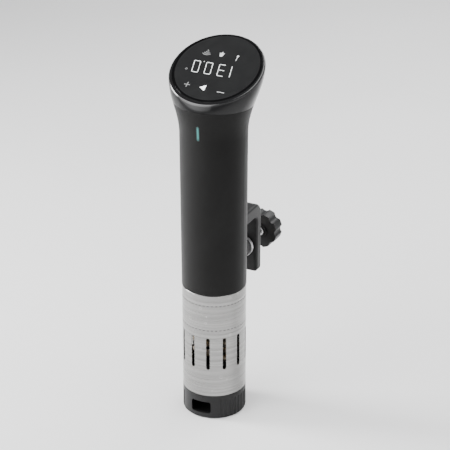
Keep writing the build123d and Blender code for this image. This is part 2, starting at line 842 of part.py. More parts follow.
with BuildPart() as head_cap:
    add(head_slice)
    # Socket that plugs into the casing's mouth.
    add(socket_slice)
    add(inner_form, mode=Mode.SUBTRACT)
    with BuildSketch(face_plane.offset(-lens_thickness)):
        Ellipse(face_half_width - lens_rim, face_half_length - lens_rim)
    extrude(amount=lens_thickness + 2, mode=Mode.SUBTRACT)
    with BuildSketch(face_plane.offset(-frame_depth - 2)):
        Ellipse(lens_window_x, lens_window_y)
    extrude(amount=frame_depth + 2, mode=Mode.SUBTRACT)
    with BuildSketch(face_plane.offset(-lens_thickness - gasket_height)):
        Ellipse(lens_window_x + gasket_far, lens_window_y + gasket_far)
        Ellipse(lens_window_x + gasket_near, lens_window_y + gasket_near, mode=Mode.SUBTRACT)
    extrude(amount=gasket_height, mode=Mode.SUBTRACT)
    with BuildSketch(Plane.XZ.offset(-gland_inner + 4)):
        with Locations((0, gland_height)):
            Circle(gland_radius + fit_gap)
    extrude(amount=-20, mode=Mode.SUBTRACT)
    # A fine round on the outer lip and on the joint line.
    lip = head_cap.edges().filter_by(on_lip)
    fillet(lip, lip_round)
    chamfer(outer_loop(head_cap, head_split), joint_bevel)
save(head_cap.part, "head_cap")

with BuildPart() as cord_gland:
    with BuildSketch(Plane.XZ.offset(-gland_inner)):
        with Locations((0, gland_height)):
            Circle(gland_flange)
    extrude(amount=-2)
    with BuildSketch(Plane.XZ.offset(-gland_inner - 2)):
        with Locations((0, gland_height)):
            Circle(gland_radius)
    extrude(amount=-(gland_outer - gland_inner - 2))
    fillet(cord_gland.edges().group_by(Axis.Y)[-1], 1.2)
    with BuildSketch(Plane.XZ.offset(-gland_inner)):
        with Locations((0, gland_height)):
            Circle(gland_bore)
    extrude(amount=-(gland_outer - gland_inner), mode=Mode.SUBTRACT)
save(cord_gland.part, "cord_gland")

# ---------------------------------------------------------------- clamp
bracket_top = casing_bottom + bracket_rise
bridge_bottom = bracket_top - bracket_thickness
leg_bottom = bracket_top - bracket_drop
saddle_back = body_radius + saddle_thickness
bracket_reach = body_radius + bracket_span
leg_inner = bracket_reach - bracket_leg
screw_height = casing_bottom + clamp_screw_rise
insert_radius = 6.2
insert_flange = 8.0
insert_lip = 1.2
hub_length = 1.0
saddle_bottom = casing_bottom + 1.5
pad_bottom = casing_bottom + 3.0
pad_top = bridge_bottom - 3.0
jaw_face = saddle_back + jaw_pad_thickness
plate_back = leg_inner - 1.5
plate_front = plate_back - plate_thickness
pad_front = plate_front - jaw_pad_thickness
knob_front = bracket_reach + insert_lip + hub_length + 0.8 + clamp_travel
knob_back = knob_front + knob_thickness
tip_radius = 2.4

with BuildPart() as clamp_bracket:
    with BuildSketch(Plane.YZ):
        with BuildLine():
            Polyline(
                (body_radius - 6, saddle_bottom),
                (saddle_back, saddle_bottom),
                (saddle_back, bridge_bottom),
                (leg_inner, bridge_bottom),
                (leg_inner, leg_bottom),
                (bracket_reach, leg_bottom),
                (bracket_reach, bracket_top),
                (body_radius - 6, bracket_top),
                close=True,
            )
        make_face()
        outer_corners = vertices().group_by(Axis.X)[-1].sort_by(Axis.Y)
        fillet(outer_corners[-1], 11)
        fillet(vertices().group_by(Axis.X)[-1].sort_by(Axis.Y)[0], 2.5)
        inner_corners = vertices().filter_by_position(Axis.X, leg_inner - 0.1, leg_inner + 0.1)
        fillet(inner_corners.sort_by(Axis.Y)[-1], 4)
    extrude(amount=bracket_half_width, both=True)
    for side in (0, -1):
        rim = clamp_bracket.faces().sort_by(Axis.X)[side].edges()
        fillet(rim.filter_by_position(Axis.Y, bracket_reach - 12, bracket_reach + 1), 2.2)
    add(saddle_form, mode=Mode.SUBTRACT)
    with BuildSketch(Plane.XZ.offset(-leg_inner)):
        with Locations((0, screw_height)):
            Circle(insert_radius)
    extrude(amount=-bracket_leg, mode=Mode.SUBTRACT)
    with BuildSketch(Plane.XZ.offset(-inner_low_radius)):
        with Locations(*[(0, casing_bottom + rise) for rise in fixing_rises]):
            Circle(fixing_radius)
    extrude(amount=-(wall + 2.4), mode=Mode.SUBTRACT)
save(clamp_bracket.part, "clamp_bracket")

with BuildPart() as bracket_screws:
    with BuildSketch(Plane.XZ.offset(-inner_low_radius + 0.6)):
        with Locations(*[(0, casing_bottom + rise) for rise in fixing_rises]):
            Circle(fixing_head)
    extrude(amount=1.8)
    with BuildSketch(Plane.XZ.offset(-inner_low_radius + 0.6)):
        with Locations(*[(0, casing_bottom + rise) for rise in fixing_rises]):
            Circle(fixing_radius - 0.03)
    extrude(amount=-(wall + 2.8))
save(bracket_screws.part, "bracket_screws")

with BuildPart() as jaw_pad:
    with BuildSketch(Plane.XZ.offset(-saddle_back)):
        with Locations((0, (pad_bottom + pad_top) / 2)):
            RectangleRounded(18, pad_top - pad_bottom, 2)
            with GridLocations(0, 5, 1, 6):
                Rectangle(14, 1, mode=Mode.SUBTRACT)
    extrude(amount=-jaw_pad_thickness)
save(jaw_pad.part, "jaw_pad")


def along_screw(near, far, outer, inner=0.0):
    """Adds a round piece about the clamp screw's axis, from one distance to another."""
    with BuildSketch(Plane.XZ.offset(-near)) as section:
        with Locations((0, screw_height)):
            Circle(outer)
            if inner:
                Circle(inner, mode=Mode.SUBTRACT)
    extrude(section.sketch, amount=-(far - near))


with BuildPart() as threaded_insert:
    along_screw(leg_inner, bracket_reach, insert_radius, clamp_screw_radius + running_gap)
    along_screw(
        bracket_reach,
        bracket_reach + insert_lip,
        insert_flange,
        clamp_screw_radius + running_gap,
    )
save(threaded_insert.part, "threaded_insert")

with BuildPart() as clamp_screw:
    along_screw(plate_back + 0.1, knob_back - 4, clamp_screw_radius)
    along_screw(plate_front + 0.8, plate_back + 0.1, tip_radius)
save(clamp_screw.part, "clamp_screw")

with BuildPart() as pressure_plate:
    along_screw(plate_front, plate_back, plate_radius)
    fillet(pressure_plate.edges().group_by(Axis.Y)[-1], 1.0)
    with BuildSketch(Plane.XZ.offset(-plate_front - 0.7)):
        with Locations((0, screw_height)):
            Circle(tip_radius + running_gap)
    extrude(amount=-plate_thickness, mode=Mode.SUBTRACT)
save(pressure_plate.part, "pressure_plate")

with BuildPart() as pressure_pad:
    along_screw(pad_front, plate_front, plate_radius - 0.6)
    fillet(pressure_pad.edges().group_by(Axis.Y)[0], 0.6)
save(pressure_pad.part, "pressure_pad")

with BuildPart() as clamp_knob:
    with BuildSketch(Plane.XZ.offset(-knob_front)):
        with Locations((0, screw_height)):
            Circle(knob_radius)
            with PolarLocations(knob_radius + 2.6, knob_lobes):
                Circle(4.4, mode=Mode.SUBTRACT)
    extrude(amount=-knob_thickness)
    fillet(clamp_knob.edges().group_by(Axis.Y)[-1], 1.6)
    along_screw(knob_front - hub_length, knob_front, clamp_screw_radius + 2.4)
    with BuildSketch(Plane.XZ.offset(-knob_front + hub_length)):
        with Locations((0, screw_height)):
            Circle(clamp_screw_radius)
    extrude(amount=-(knob_thickness + hub_length - 4), mode=Mode.SUBTRACT)
    # Shallow seat for the cover disc.
    with BuildSketch(Plane.XZ.offset(-knob_back + 1.2)):
        with Locations((0, screw_height)):
            Circle(9.1)
    extrude(amount=-2, mode=Mode.SUBTRACT)
save(clamp_knob.part, "clamp_knob")

with BuildPart() as knob_cover:
    along_screw(knob_back - 1.2, knob_back + 0.6, 9.0)
    fillet(knob_cover.edges().group_by(Axis.Y)[-1], 0.6)
save(knob_cover.part, "knob_cover")
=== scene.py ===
# %% [markdown]
# # An immersion circulator, finished for looks
#
# The object is a wand that clamps to a cooking pot. Its head carries a round glass with lit
# numbers, its body holds a motor, and its lower third is a steel skirt round a heating coil.
# Its solid parts come ready made from an engineering model, so this lesson is about what the
# eye reads next: how matte plastic differs from polished plastic, how steel is brushed, how
# numbers glow behind dark glass, and the small shapes, such as a screw thread, that an
# engineering model leaves plain.
#
# All lengths are metres. `MM` turns millimetres into metres, because the parts are small.

import json
import math

import bmesh
import bpy
from mathutils import Matrix, Vector


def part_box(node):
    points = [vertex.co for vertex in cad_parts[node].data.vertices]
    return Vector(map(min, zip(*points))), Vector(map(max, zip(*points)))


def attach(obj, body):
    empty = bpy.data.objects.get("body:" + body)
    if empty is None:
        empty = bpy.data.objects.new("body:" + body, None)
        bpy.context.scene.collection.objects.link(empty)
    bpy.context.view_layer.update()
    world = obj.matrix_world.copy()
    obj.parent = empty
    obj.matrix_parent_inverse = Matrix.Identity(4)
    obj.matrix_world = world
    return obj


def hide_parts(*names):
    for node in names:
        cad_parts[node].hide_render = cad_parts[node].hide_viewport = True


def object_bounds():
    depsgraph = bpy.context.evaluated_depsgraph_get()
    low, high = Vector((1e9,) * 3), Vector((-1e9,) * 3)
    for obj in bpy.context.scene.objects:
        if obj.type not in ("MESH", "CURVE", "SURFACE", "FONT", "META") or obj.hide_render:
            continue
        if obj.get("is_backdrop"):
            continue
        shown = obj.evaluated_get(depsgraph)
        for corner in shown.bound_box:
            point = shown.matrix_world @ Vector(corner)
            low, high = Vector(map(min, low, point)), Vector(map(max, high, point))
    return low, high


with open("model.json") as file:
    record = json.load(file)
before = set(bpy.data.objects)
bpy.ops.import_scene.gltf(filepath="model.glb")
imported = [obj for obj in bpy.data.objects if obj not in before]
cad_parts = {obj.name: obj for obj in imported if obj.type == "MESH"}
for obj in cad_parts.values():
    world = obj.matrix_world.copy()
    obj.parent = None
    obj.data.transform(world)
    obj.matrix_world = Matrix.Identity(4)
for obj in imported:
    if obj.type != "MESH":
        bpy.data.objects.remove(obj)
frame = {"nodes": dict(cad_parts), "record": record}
nodes = frame["nodes"]
cad_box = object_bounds()
MM = 0.001
print(len(nodes), "solid parts, overall", [round(n, 4) for n in cad_box[1] - cad_box[0]], "m")

# %% [markdown]
# ## Two small helpers for node trees
#
# Every material and every geometry tree below is made of nodes. Placing them one call at a
# time makes long code, so `add_node` places one node, sets its options and fills or links its
# inputs in a single call. It works for shader trees and geometry trees alike. The other way
# would be to draw the tree by hand in the editor, but a script can be read and changed.

# %% Place and link a node
def add_node(tree, kind, options=None, inputs=None):
    """One node with its options set; an input is given a value or another node's output."""
    made = tree.nodes.new(kind)
    for name, value in (options or {}).items():
        setattr(made, name, value)
    for name, value in (inputs or {}).items():
        if isinstance(value, bpy.types.NodeSocket):
            tree.links.new(value, made.inputs[name])
        else:
            made.inputs[name].default_value = value
    return made


def shader_group(name, numbers, outputs):
    """An empty shader group with named number inputs and named value outputs."""
    group = bpy.data.node_groups.new(name, "ShaderNodeTree")
    for label, value in numbers.items():
        socket = group.interface.new_socket(
            name=label, in_out="INPUT", socket_type="NodeSocketFloat"
        )
        socket.default_value = value
    for label in outputs:
        group.interface.new_socket(name=label, in_out="OUTPUT", socket_type="NodeSocketFloat")
    return group, add_node(group, "NodeGroupInput"), add_node(group, "NodeGroupOutput")


print("helpers ready: add_node, shader_group")

# %% [markdown]
# ## Shared effect: moulded grain
#
# Plastic takes the texture of its steel mould. A matte housing comes from a spark-eroded
# mould, whose surface is a field of tiny rounded pits, and each housing also has broad, faint
# patches where it was handled. Many materials here need both, so they are one group with two
# outputs. A fine noise with soft cells gives the pits as a height, and a slow noise gives the
# patches as a mask from 0 to 1.

# %% Build the moulded grain group
moulded_grain, grain_in, grain_out = shader_group(
    "Moulded grain",
    {"Grain per metre": 2600.0, "Patches per metre": 28.0},
    ["Height", "Patches"],
)
grain_place = add_node(moulded_grain, "ShaderNodeTexCoord")
pits = add_node(
    moulded_grain,
    "ShaderNodeTexVoronoi",
    {"feature": "SMOOTH_F1"},
    {
        "Vector": grain_place.outputs["Object"],
        "Scale": grain_in.outputs["Grain per metre"],
        "Smoothness": 0.7,
    },
)
fine = add_node(
    moulded_grain,
    "ShaderNodeTexNoise",
    None,
    {
        "Vector": grain_place.outputs["Object"],
        "Scale": grain_in.outputs["Grain per metre"],
        "Detail": 3.0,
    },
)
pitted = add_node(
    moulded_grain,
    "ShaderNodeMath",
    {"operation": "MULTIPLY"},
    {0: pits.outputs["Distance"], 1: fine.outputs[0]},
)
slow = add_node(
    moulded_grain,
    "ShaderNodeTexNoise",
    None,
    {
        "Vector": grain_place.outputs["Object"],
        "Scale": grain_in.outputs["Patches per metre"],
        "Detail": 4.0,
        "Distortion": 0.6,
    },
)
patches = add_node(
    moulded_grain,
    "ShaderNodeMapRange",
    None,
    {"Value": slow.outputs[0], "From Min": 0.35, "From Max": 0.68},
)
moulded_grain.links.new(pitted.outputs[0], grain_out.inputs["Height"])
moulded_grain.links.new(patches.outputs[0], grain_out.inputs["Patches"])
print("group:", moulded_grain.name, "with", len(moulded_grain.nodes), "nodes")

# %% [markdown]
# ## Shared effect: brushed lines
#
# Steel tube is brushed while it turns, so its scratches run round it. A noise becomes lines
# when its space is squeezed along one direction: many steps per millimetre up the tube, few
# round it. The group takes one number for each direction, so the same group draws rings on a
# tube or streaks on a sheet, and it gives a height for the bump and a mask for the shine.

# %% Build the brushed lines group
brushed_lines, lines_in, lines_out = shader_group(
    "Brushed lines",
    {"Along X": 60.0, "Along Y": 60.0, "Along Z": 5200.0},
    ["Height", "Streaks"],
)
lines_place = add_node(brushed_lines, "ShaderNodeTexCoord")
squeeze = add_node(
    brushed_lines,
    "ShaderNodeCombineXYZ",
    None,
    {
        "X": lines_in.outputs["Along X"],
        "Y": lines_in.outputs["Along Y"],
        "Z": lines_in.outputs["Along Z"],
    },
)
squeezed = add_node(
    brushed_lines,
    "ShaderNodeVectorMath",
    {"operation": "MULTIPLY"},
    {0: lines_place.outputs["Object"], 1: squeeze.outputs[0]},
)
scratches = add_node(
    brushed_lines,
    "ShaderNodeTexNoise",
    None,
    {"Vector": squeezed.outputs[0], "Scale": 1.0, "Detail": 2.0},
)
broad = add_node(
    brushed_lines,
    "ShaderNodeTexNoise",
    None,
    {"Vector": squeezed.outputs[0], "Scale": 0.09, "Detail": 3.0},
)
streaks = add_node(
    brushed_lines,
    "ShaderNodeMapRange",
    None,
    {"Value": broad.outputs[0], "From Min": 0.3, "From Max": 0.7},
)
brushed_lines.links.new(scratches.outputs[0], lines_out.inputs["Height"])
brushed_lines.links.new(streaks.outputs[0], lines_out.inputs["Streaks"])
print("group:", brushed_lines.name, "with", len(brushed_lines.nodes), "nodes")

# %% [markdown]
# ## Shared effect: rubbed edges
#
# Corners are touched first, so a used edge is a little lighter and smoother than the faces
# beside it. The Bevel node pretends that edges are round. Where that pretended surface
# direction differs from the true one there is an edge, so one minus their dot product is a
# mask of the edges. Painting the edges by hand would also work, but it would have to be done
# again whenever a part changed. A slow noise breaks the mask up, because wear is never even.

# %% Build the rubbed edges group
rubbed_edges, rub_in, rub_out = shader_group(
    "Rubbed edges", {"Width": 0.0006, "Amount": 0.6}, ["Mask"]
)
rounded = add_node(
    rubbed_edges, "ShaderNodeBevel", {"samples": 4}, {"Radius": rub_in.outputs["Width"]}
)
true_side = add_node(rubbed_edges, "ShaderNodeNewGeometry")
same = add_node(
    rubbed_edges,
    "ShaderNodeVectorMath",
    {"operation": "DOT_PRODUCT"},
    {0: rounded.outputs[0], 1: true_side.outputs["Normal"]},
)
edge = add_node(
    rubbed_edges,
    "ShaderNodeMapRange",
    None,
    {"Value": same.outputs["Value"], "From Min": 0.995, "From Max": 0.85},
)
rub_place = add_node(rubbed_edges, "ShaderNodeTexCoord")
broken = add_node(
    rubbed_edges,
    "ShaderNodeTexNoise",
    None,
    {"Vector": rub_place.outputs["Object"], "Scale": 220.0, "Detail": 3.0},
)
uneven = add_node(
    rubbed_edges,
    "ShaderNodeMath",
    {"operation": "MULTIPLY"},
    {0: edge.outputs[0], 1: broken.outputs[0]},
)
rubbed = add_node(
    rubbed_edges,
    "ShaderNodeMath",
    {"operation": "MULTIPLY", "use_clamp": True},
    {0: uneven.outputs[0], 1: rub_in.outputs["Amount"]},
)
rubbed_edges.links.new(rubbed.outputs[0], rub_out.inputs["Mask"])
print("group:", rubbed_edges.name, "with", len(rubbed_edges.nodes), "nodes")

# %% [markdown]
# ## Shared effect: dried drops
#
# A circulator stands in water, and drops dry on it as faint rings. Voronoi cells put one
# point in each cell of space. A thin band at one distance from that point is a ring. Each
# cell also has a random colour, and only cells whose red is under a small share keep their
# ring, which leaves most cells without one.

# %% Build the dried drops group
dried_drops, drops_in, drops_out = shader_group(
    "Dried drops", {"Drops per metre": 190.0, "Share": 0.12}, ["Mask"]
)
drops_place = add_node(dried_drops, "ShaderNodeTexCoord")
cells = add_node(
    dried_drops,
    "ShaderNodeTexVoronoi",
    None,
    {"Vector": drops_place.outputs["Object"], "Scale": drops_in.outputs["Drops per metre"]},
)
ring = add_node(
    dried_drops,
    "ShaderNodeMath",
    {"operation": "COMPARE"},
    {0: cells.outputs["Distance"], 1: 0.26, 2: 0.022},
)
chance = add_node(
    dried_drops, "ShaderNodeSeparateColor", None, {"Color": cells.outputs["Color"]}
)
kept = add_node(
    dried_drops,
    "ShaderNodeMath",
    {"operation": "LESS_THAN"},
    {0: chance.outputs[0], 1: drops_in.outputs["Share"]},
)
drop = add_node(
    dried_drops,
    "ShaderNodeMath",
    {"operation": "MULTIPLY"},
    {0: ring.outputs[0], 1: kept.outputs[0]},
)
dried_drops.links.new(drop.outputs[0], drops_out.inputs["Mask"])
print("group:", dried_drops.name, "with", len(dried_drops.nodes), "nodes")

# %% [markdown]
# ## From groups to finishes
#
# A finish is a Principled shader whose inputs change over the surface. `new_finish` makes the
# material and sets what is the same all over, such as a clear coat. `vary_colour` and
# `vary_roughness` drive the two inputs that change, and `add_relief` turns a height into
# bump. Writing them once keeps each finish below down to its own numbers.

# %% Helpers for finishes
finishes = {}
# A Mix node has sockets for numbers, vectors and colours; these are the places of its colours.
MIX_FROM = 6
MIX_TO = 7
MIX_RESULT = 2


def new_finish(slot, **constants):
    """A material for one slot, with constant inputs set on the shader's own sockets."""
    material = bpy.data.materials.new(slot)
    material.use_nodes = True
    tree = material.node_tree
    shader = tree.nodes["Principled BSDF"]
    for name, value in constants.items():
        shader.inputs[name.replace("_", " ")].default_value = value
    finishes[slot] = material
    return tree, shader


def use_group(tree, group, **numbers):
    """A shared effect placed in a finish, with this finish's own numbers."""
    placed = add_node(tree, "ShaderNodeGroup", {"node_tree": group})
    for name, value in numbers.items():
        placed.inputs[name.replace("_", " ")].default_value = value
    return placed


def vary_colour(tree, base, other, mask):
    """A colour that moves from base, a colour or a socket, to other as the mask goes to 1."""
    mix = add_node(tree, "ShaderNodeMix", {"data_type": "RGBA"}, {"Factor": mask})
    if isinstance(base, tuple):
        mix.inputs[MIX_FROM].default_value = (*base, 1.0)
    else:
        tree.links.new(base, mix.inputs[MIX_FROM])
    mix.inputs[MIX_TO].default_value = (*other, 1.0)
    return mix.outputs[MIX_RESULT]


def vary_roughness(tree, shader, mask, low, high):
    """Roughness that follows a mask between two limits."""
    spread = add_node(
        tree, "ShaderNodeMapRange", None, {"Value": mask, "To Min": low, "To Max": high}
    )
    tree.links.new(spread.outputs[0], shader.inputs["Roughness"])


def add_relief(tree, shader, height, depth):
    """Bump from a height: depth is how far the relief reaches, in metres."""
    bump = add_node(tree, "ShaderNodeBump", None, {"Height": height, "Distance": depth})
    tree.links.new(bump.outputs[0], shader.inputs["Normal"])


print("helpers ready: new_finish, use_group, vary_colour, vary_roughness, add_relief")

# %% [markdown]
# ## Moulded plastic and rubber
#
# The casing is matte black, the clamp is a rougher black, the head is polished, and the seals
# are soft rubber. They are the same recipe with other numbers: a dark colour that lightens a
# little in patches and on rubbed edges, a roughness range, and grain of a certain size and
# depth. The head has the finest grain and the lowest roughness, which gives it sharp
# highlights over a dark body. How its clear coat would look is set here too, but the coat
# itself is laid on later, and only on the lip.

# %% Make the plastics and rubbers
# A worn edge is the patch colour made brighter, with a trace of pale dust.
WORN_GAIN = 1.8
WORN_DUST = 0.02


def moulded(slot, colour, roughness, grain, relief, lift=1.3, rub=0.5, **constants):
    """A moulded finish: patches and rubbed edges in colour, grain in relief."""
    tree, shader = new_finish(slot, **constants)
    texture = use_group(tree, moulded_grain, Grain_per_metre=grain)
    edges = use_group(tree, rubbed_edges, Amount=rub)
    lighter = tuple(min(1.0, part * lift) for part in colour)
    worn = tuple(min(1.0, part * lift * WORN_GAIN + WORN_DUST) for part in colour)
    patched = vary_colour(tree, colour, lighter, texture.outputs["Patches"])
    edged = vary_colour(tree, patched, worn, edges.outputs["Mask"])
    tree.links.new(edged, shader.inputs["Base Color"])
    vary_roughness(tree, shader, texture.outputs["Patches"], roughness[0], roughness[1])
    add_relief(tree, shader, texture.outputs["Height"], relief * MM)


matte = {"Specular_IOR_Level": 0.1}
eggshell = {"Specular_IOR_Level": 0.2}
glossy = {"Specular_IOR_Level": 0.3, "Coat_Roughness": 0.10, "Coat_IOR": 1.6}
moulded("casing_black", (0.0060, 0.0059, 0.0058), (0.40, 0.47), 2600, 0.03, **matte)
moulded("head_black", (0.0035, 0.0035, 0.0038), (0.13, 0.19), 5200, 0.002, **glossy)
moulded("bracket_black", (0.0075, 0.0075, 0.0077), (0.36, 0.46), 2100, 0.045, **eggshell)
moulded("cap_plastic", (0.0075, 0.0075, 0.0077), (0.36, 0.46), 2300, 0.04, **eggshell)
moulded("cover_grey", (0.07, 0.071, 0.073), (0.35, 0.45), 2600, 0.02)
moulded("pump_plastic", (0.60, 0.61, 0.58), (0.30, 0.42), 2600, 0.02, lift=1.08)
moulded("carrier_plastic", (0.52, 0.53, 0.52), (0.40, 0.50), 2600, 0.03, lift=1.08)
moulded("component_black", (0.03, 0.03, 0.032), (0.35, 0.5), 2600, 0.03)
moulded("terminal_green", (0.04, 0.26, 0.10), (0.35, 0.5), 2600, 0.03)
moulded("capacitor_sleeve", (0.02, 0.04, 0.16), (0.2, 0.3), 1500, 0.01)
moulded("ribbon_amber", (0.42, 0.20, 0.04), (0.25, 0.4), 1500, 0.01)
moulded("rubber_black", (0.012, 0.012, 0.0124), (0.62, 0.78), 1500, 0.05, Sheen_Weight=0.1)
moulded("lead_insulation", (0.32, 0.03, 0.02), (0.45, 0.6), 1500, 0.02, Sheen_Weight=0.1)
print("plastics and rubbers:", len(finishes))

# %% [markdown]
# ## Metals
#
# A metal shows its surroundings in its own colour, so its look comes from how rough it is and
# which way its lines run. The skirt is brushed round its axis. Turned parts have fine rings,
# windings have lines along the wire, and cast parts have an even grain and no lines.

# %% Make the metals
RUBBED_GAIN = 1.25


def metal(slot, colour, roughness, lines, relief, tint=0.86, **constants):
    """A metal finish with drawn or brushed lines along the squeezed direction."""
    tree, shader = new_finish(slot, Metallic=1.0, **constants)
    brush = use_group(tree, brushed_lines, Along_X=lines[0], Along_Y=lines[1], Along_Z=lines[2])
    edges = use_group(tree, rubbed_edges, Amount=0.5)
    darker = tuple(part * tint for part in colour)
    brighter = tuple(min(1.0, part * RUBBED_GAIN) for part in colour)
    lined = vary_colour(tree, colour, darker, brush.outputs["Streaks"])
    edged = vary_colour(tree, lined, brighter, edges.outputs["Mask"])
    tree.links.new(edged, shader.inputs["Base Color"])
    vary_roughness(tree, shader, brush.outputs["Streaks"], roughness[0], roughness[1])
    add_relief(tree, shader, brush.outputs["Height"], relief * MM)
    return tree, shader


# Steps per metre along X, Y and Z: lines run along the directions with few steps.
around = (70.0, 70.0, 5200.0)
cast = (900.0, 900.0, 900.0)
turned_y = (5200.0, 70.0, 5200.0)
wound = (2400.0, 2400.0, 60.0)
drawn_up = (2600.0, 2600.0, 40.0)
skirt_tree, skirt_shader = metal(
    "skirt_steel", (0.32, 0.317, 0.31), (0.20, 0.32), around, 0.05, tint=0.66
)
coil_tree, coil_shader = metal("heater_steel", (0.50, 0.48, 0.45), (0.22, 0.38), cast, 0.01)
metal("plain_steel", (0.56, 0.56, 0.56), (0.22, 0.34), around, 0.01)
metal("motor_steel", (0.42, 0.42, 0.43), (0.28, 0.4), around, 0.01)
metal("magnet_grey", (0.16, 0.16, 0.165), (0.35, 0.5), cast, 0.01)
metal("winding_copper", (0.86, 0.42, 0.22), (0.22, 0.35), wound, 0.06)
metal("bush_bronze", (0.66, 0.45, 0.22), (0.3, 0.45), cast, 0.02)
metal("insert_brass", (0.80, 0.60, 0.28), (0.2, 0.32), turned_y, 0.01)
metal("mount_aluminium", (0.70, 0.70, 0.71), (0.35, 0.5), cast, 0.04)
metal("sink_aluminium", (0.66, 0.66, 0.68), (0.28, 0.4), drawn_up, 0.02)
print("metals made; finishes so far:", len(finishes))

# %% [markdown]
# ## Drops on the skirt, heat on the coil
#
# Two metals have a history. The skirt carries dried drops, which are laid over the colour that
# its finish already has. The heating coil is tube that water and heat have tinted straw and
# blue, so its colour follows a slow noise through a ramp. A painted picture would need the
# coil unrolled first, and noise in space doesn't.

# %% Add drops to the skirt and heat tint to the coil
drops = use_group(skirt_tree, dried_drops)
skirt_base = skirt_shader.inputs["Base Color"].links[0].from_socket
spotted = vary_colour(skirt_tree, skirt_base, (0.42, 0.415, 0.40), drops.outputs["Mask"])
skirt_tree.links.new(spotted, skirt_shader.inputs["Base Color"])

coil_place = add_node(coil_tree, "ShaderNodeTexCoord")
heat = add_node(
    coil_tree,
    "ShaderNodeTexNoise",
    None,
    {"Vector": coil_place.outputs["Object"], "Scale": 55.0, "Detail": 2.0},
)
tints = add_node(coil_tree, "ShaderNodeValToRGB", None, {"Fac": heat.outputs[0]})
tints.color_ramp.elements[0].position = 0.35
tints.color_ramp.elements[0].color = (0.46, 0.45, 0.44, 1)
tints.color_ramp.elements[1].position = 0.70
tints.color_ramp.elements[1].color = (0.30, 0.31, 0.38, 1)
straw = tints.color_ramp.elements.new(0.52)
straw.color = (0.52, 0.42, 0.28, 1)
coil_tree.links.new(tints.outputs[0], coil_shader.inputs["Base Color"])
print("skirt and coil finishes have", len(skirt_tree.nodes), "and", len(coil_tree.nodes), "nodes")

# %% [markdown]
# ## Circuit boards
#
# A board is green lacquer over copper tracks. The tracks stand a hair above the board and
# look lighter through the lacquer. A brick pattern is already made of straight runs with
# corners, so one that is read only along its joints makes a believable net of tracks without
# an image.

# %% Make the board finish
board_tree, board_shader = new_finish("board_green", Coat_Weight=0.4, Coat_Roughness=0.15)
board_place = add_node(board_tree, "ShaderNodeTexCoord")
# The pattern is read on the board's own plane, which is X and Z.
board_turn = add_node(
    board_tree,
    "ShaderNodeMapping",
    None,
    {"Vector": board_place.outputs["Object"], "Rotation": (math.radians(90), 0, 0)},
)
tracks = add_node(
    board_tree,
    "ShaderNodeTexBrick",
    None,
    {
        "Vector": board_turn.outputs[0],
        "Scale": 160.0,
        "Mortar Size": 0.035,
        "Mortar Smooth": 0.2,
        "Brick Width": 0.9,
        "Row Height": 0.24,
    },
)
board_colour = vary_colour(
    board_tree, (0.012, 0.10, 0.035), (0.04, 0.22, 0.08), tracks.outputs["Fac"]
)
board_tree.links.new(board_colour, board_shader.inputs["Base Color"])
vary_roughness(board_tree, board_shader, tracks.outputs["Fac"], 0.38, 0.25)
add_relief(board_tree, board_shader, tracks.outputs["Fac"], 0.03 * MM)
print("board finish has", len(board_tree.nodes), "nodes")

# %% [markdown]
# ## The control glass
#
# The glass is dark because it is printed black behind, and its front is etched to a satin so
# that fingers glide and lamps don't glare. So it isn't see-through at all: it is a dark
# surface of medium roughness, with a few smudges where fingers have pressed, which show more
# as patches of other roughness than as colour. The etching stops short of the edge, and the
# border it leaves is polished. The border is found by dividing each point's place by the
# field's half width and half depth: where the length of the result passes 1, it has begun.

# %% Make the glass finish
glass_tree, glass_shader = new_finish("display_glass", Specular_IOR_Level=0.15)
glass_grain = use_group(glass_tree, moulded_grain, Grain_per_metre=9000.0, Patches_per_metre=75.0)
glass_low, glass_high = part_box("display_lens")
glass_middle = (glass_low + glass_high) / 2
etched_share = 0.955
field_half = (glass_high - glass_low) / 2 * etched_share
# Dividing by a very large number takes the height out of the measure.
FLATTEN = 1000.0
glass_place = add_node(glass_tree, "ShaderNodeTexCoord")
centred = add_node(
    glass_tree,
    "ShaderNodeMapping",
    {"vector_type": "TEXTURE"},
    {
        "Vector": glass_place.outputs["Object"],
        "Location": glass_middle,
        "Scale": (field_half.x, field_half.y, FLATTEN),
    },
)
from_centre = add_node(
    glass_tree, "ShaderNodeVectorMath", {"operation": "LENGTH"}, {0: centred.outputs[0]}
)
border = add_node(
    glass_tree,
    "ShaderNodeMapRange",
    None,
    {"Value": from_centre.outputs["Value"], "From Min": 0.985, "From Max": 1.0},
)
field_colour = vary_colour(
    glass_tree,
    (0.0085, 0.0087, 0.0090),
    (0.0098, 0.0100, 0.0103),
    glass_grain.outputs["Patches"],
)
glass_colour = vary_colour(glass_tree, field_colour, (0.002, 0.002, 0.0022), border.outputs[0])
glass_tree.links.new(glass_colour, glass_shader.inputs["Base Color"])
satin = add_node(
    glass_tree,
    "ShaderNodeMapRange",
    None,
    {"Value": glass_grain.outputs["Patches"], "To Min": 0.36, "To Max": 0.43},
)
polished = add_node(
    glass_tree,
    "ShaderNodeMix",
    {"data_type": "FLOAT"},
    {"Factor": border.outputs[0], "A": satin.outputs[0], "B": 0.08},
)
glass_tree.links.new(polished.outputs[0], glass_shader.inputs["Roughness"])
add_relief(glass_tree, glass_shader, glass_grain.outputs["Height"], 0.003 * MM)
print("glass finish has", len(glass_tree.nodes), "nodes")

# %% [markdown]
# ## What is lit
#
# The status light is a thin pipe of tinted plastic with a lamp behind its middle, so it is
# brightest there and dark teal at its sides and ends. Its glow is a colour that depends on
# how far a point is from its middle, across and up, in Object coordinates. The numbers
# are lit evenly, with the faint mottling of a diffuser. Dim icons are a darker print, so they
# glow less at the same strength.

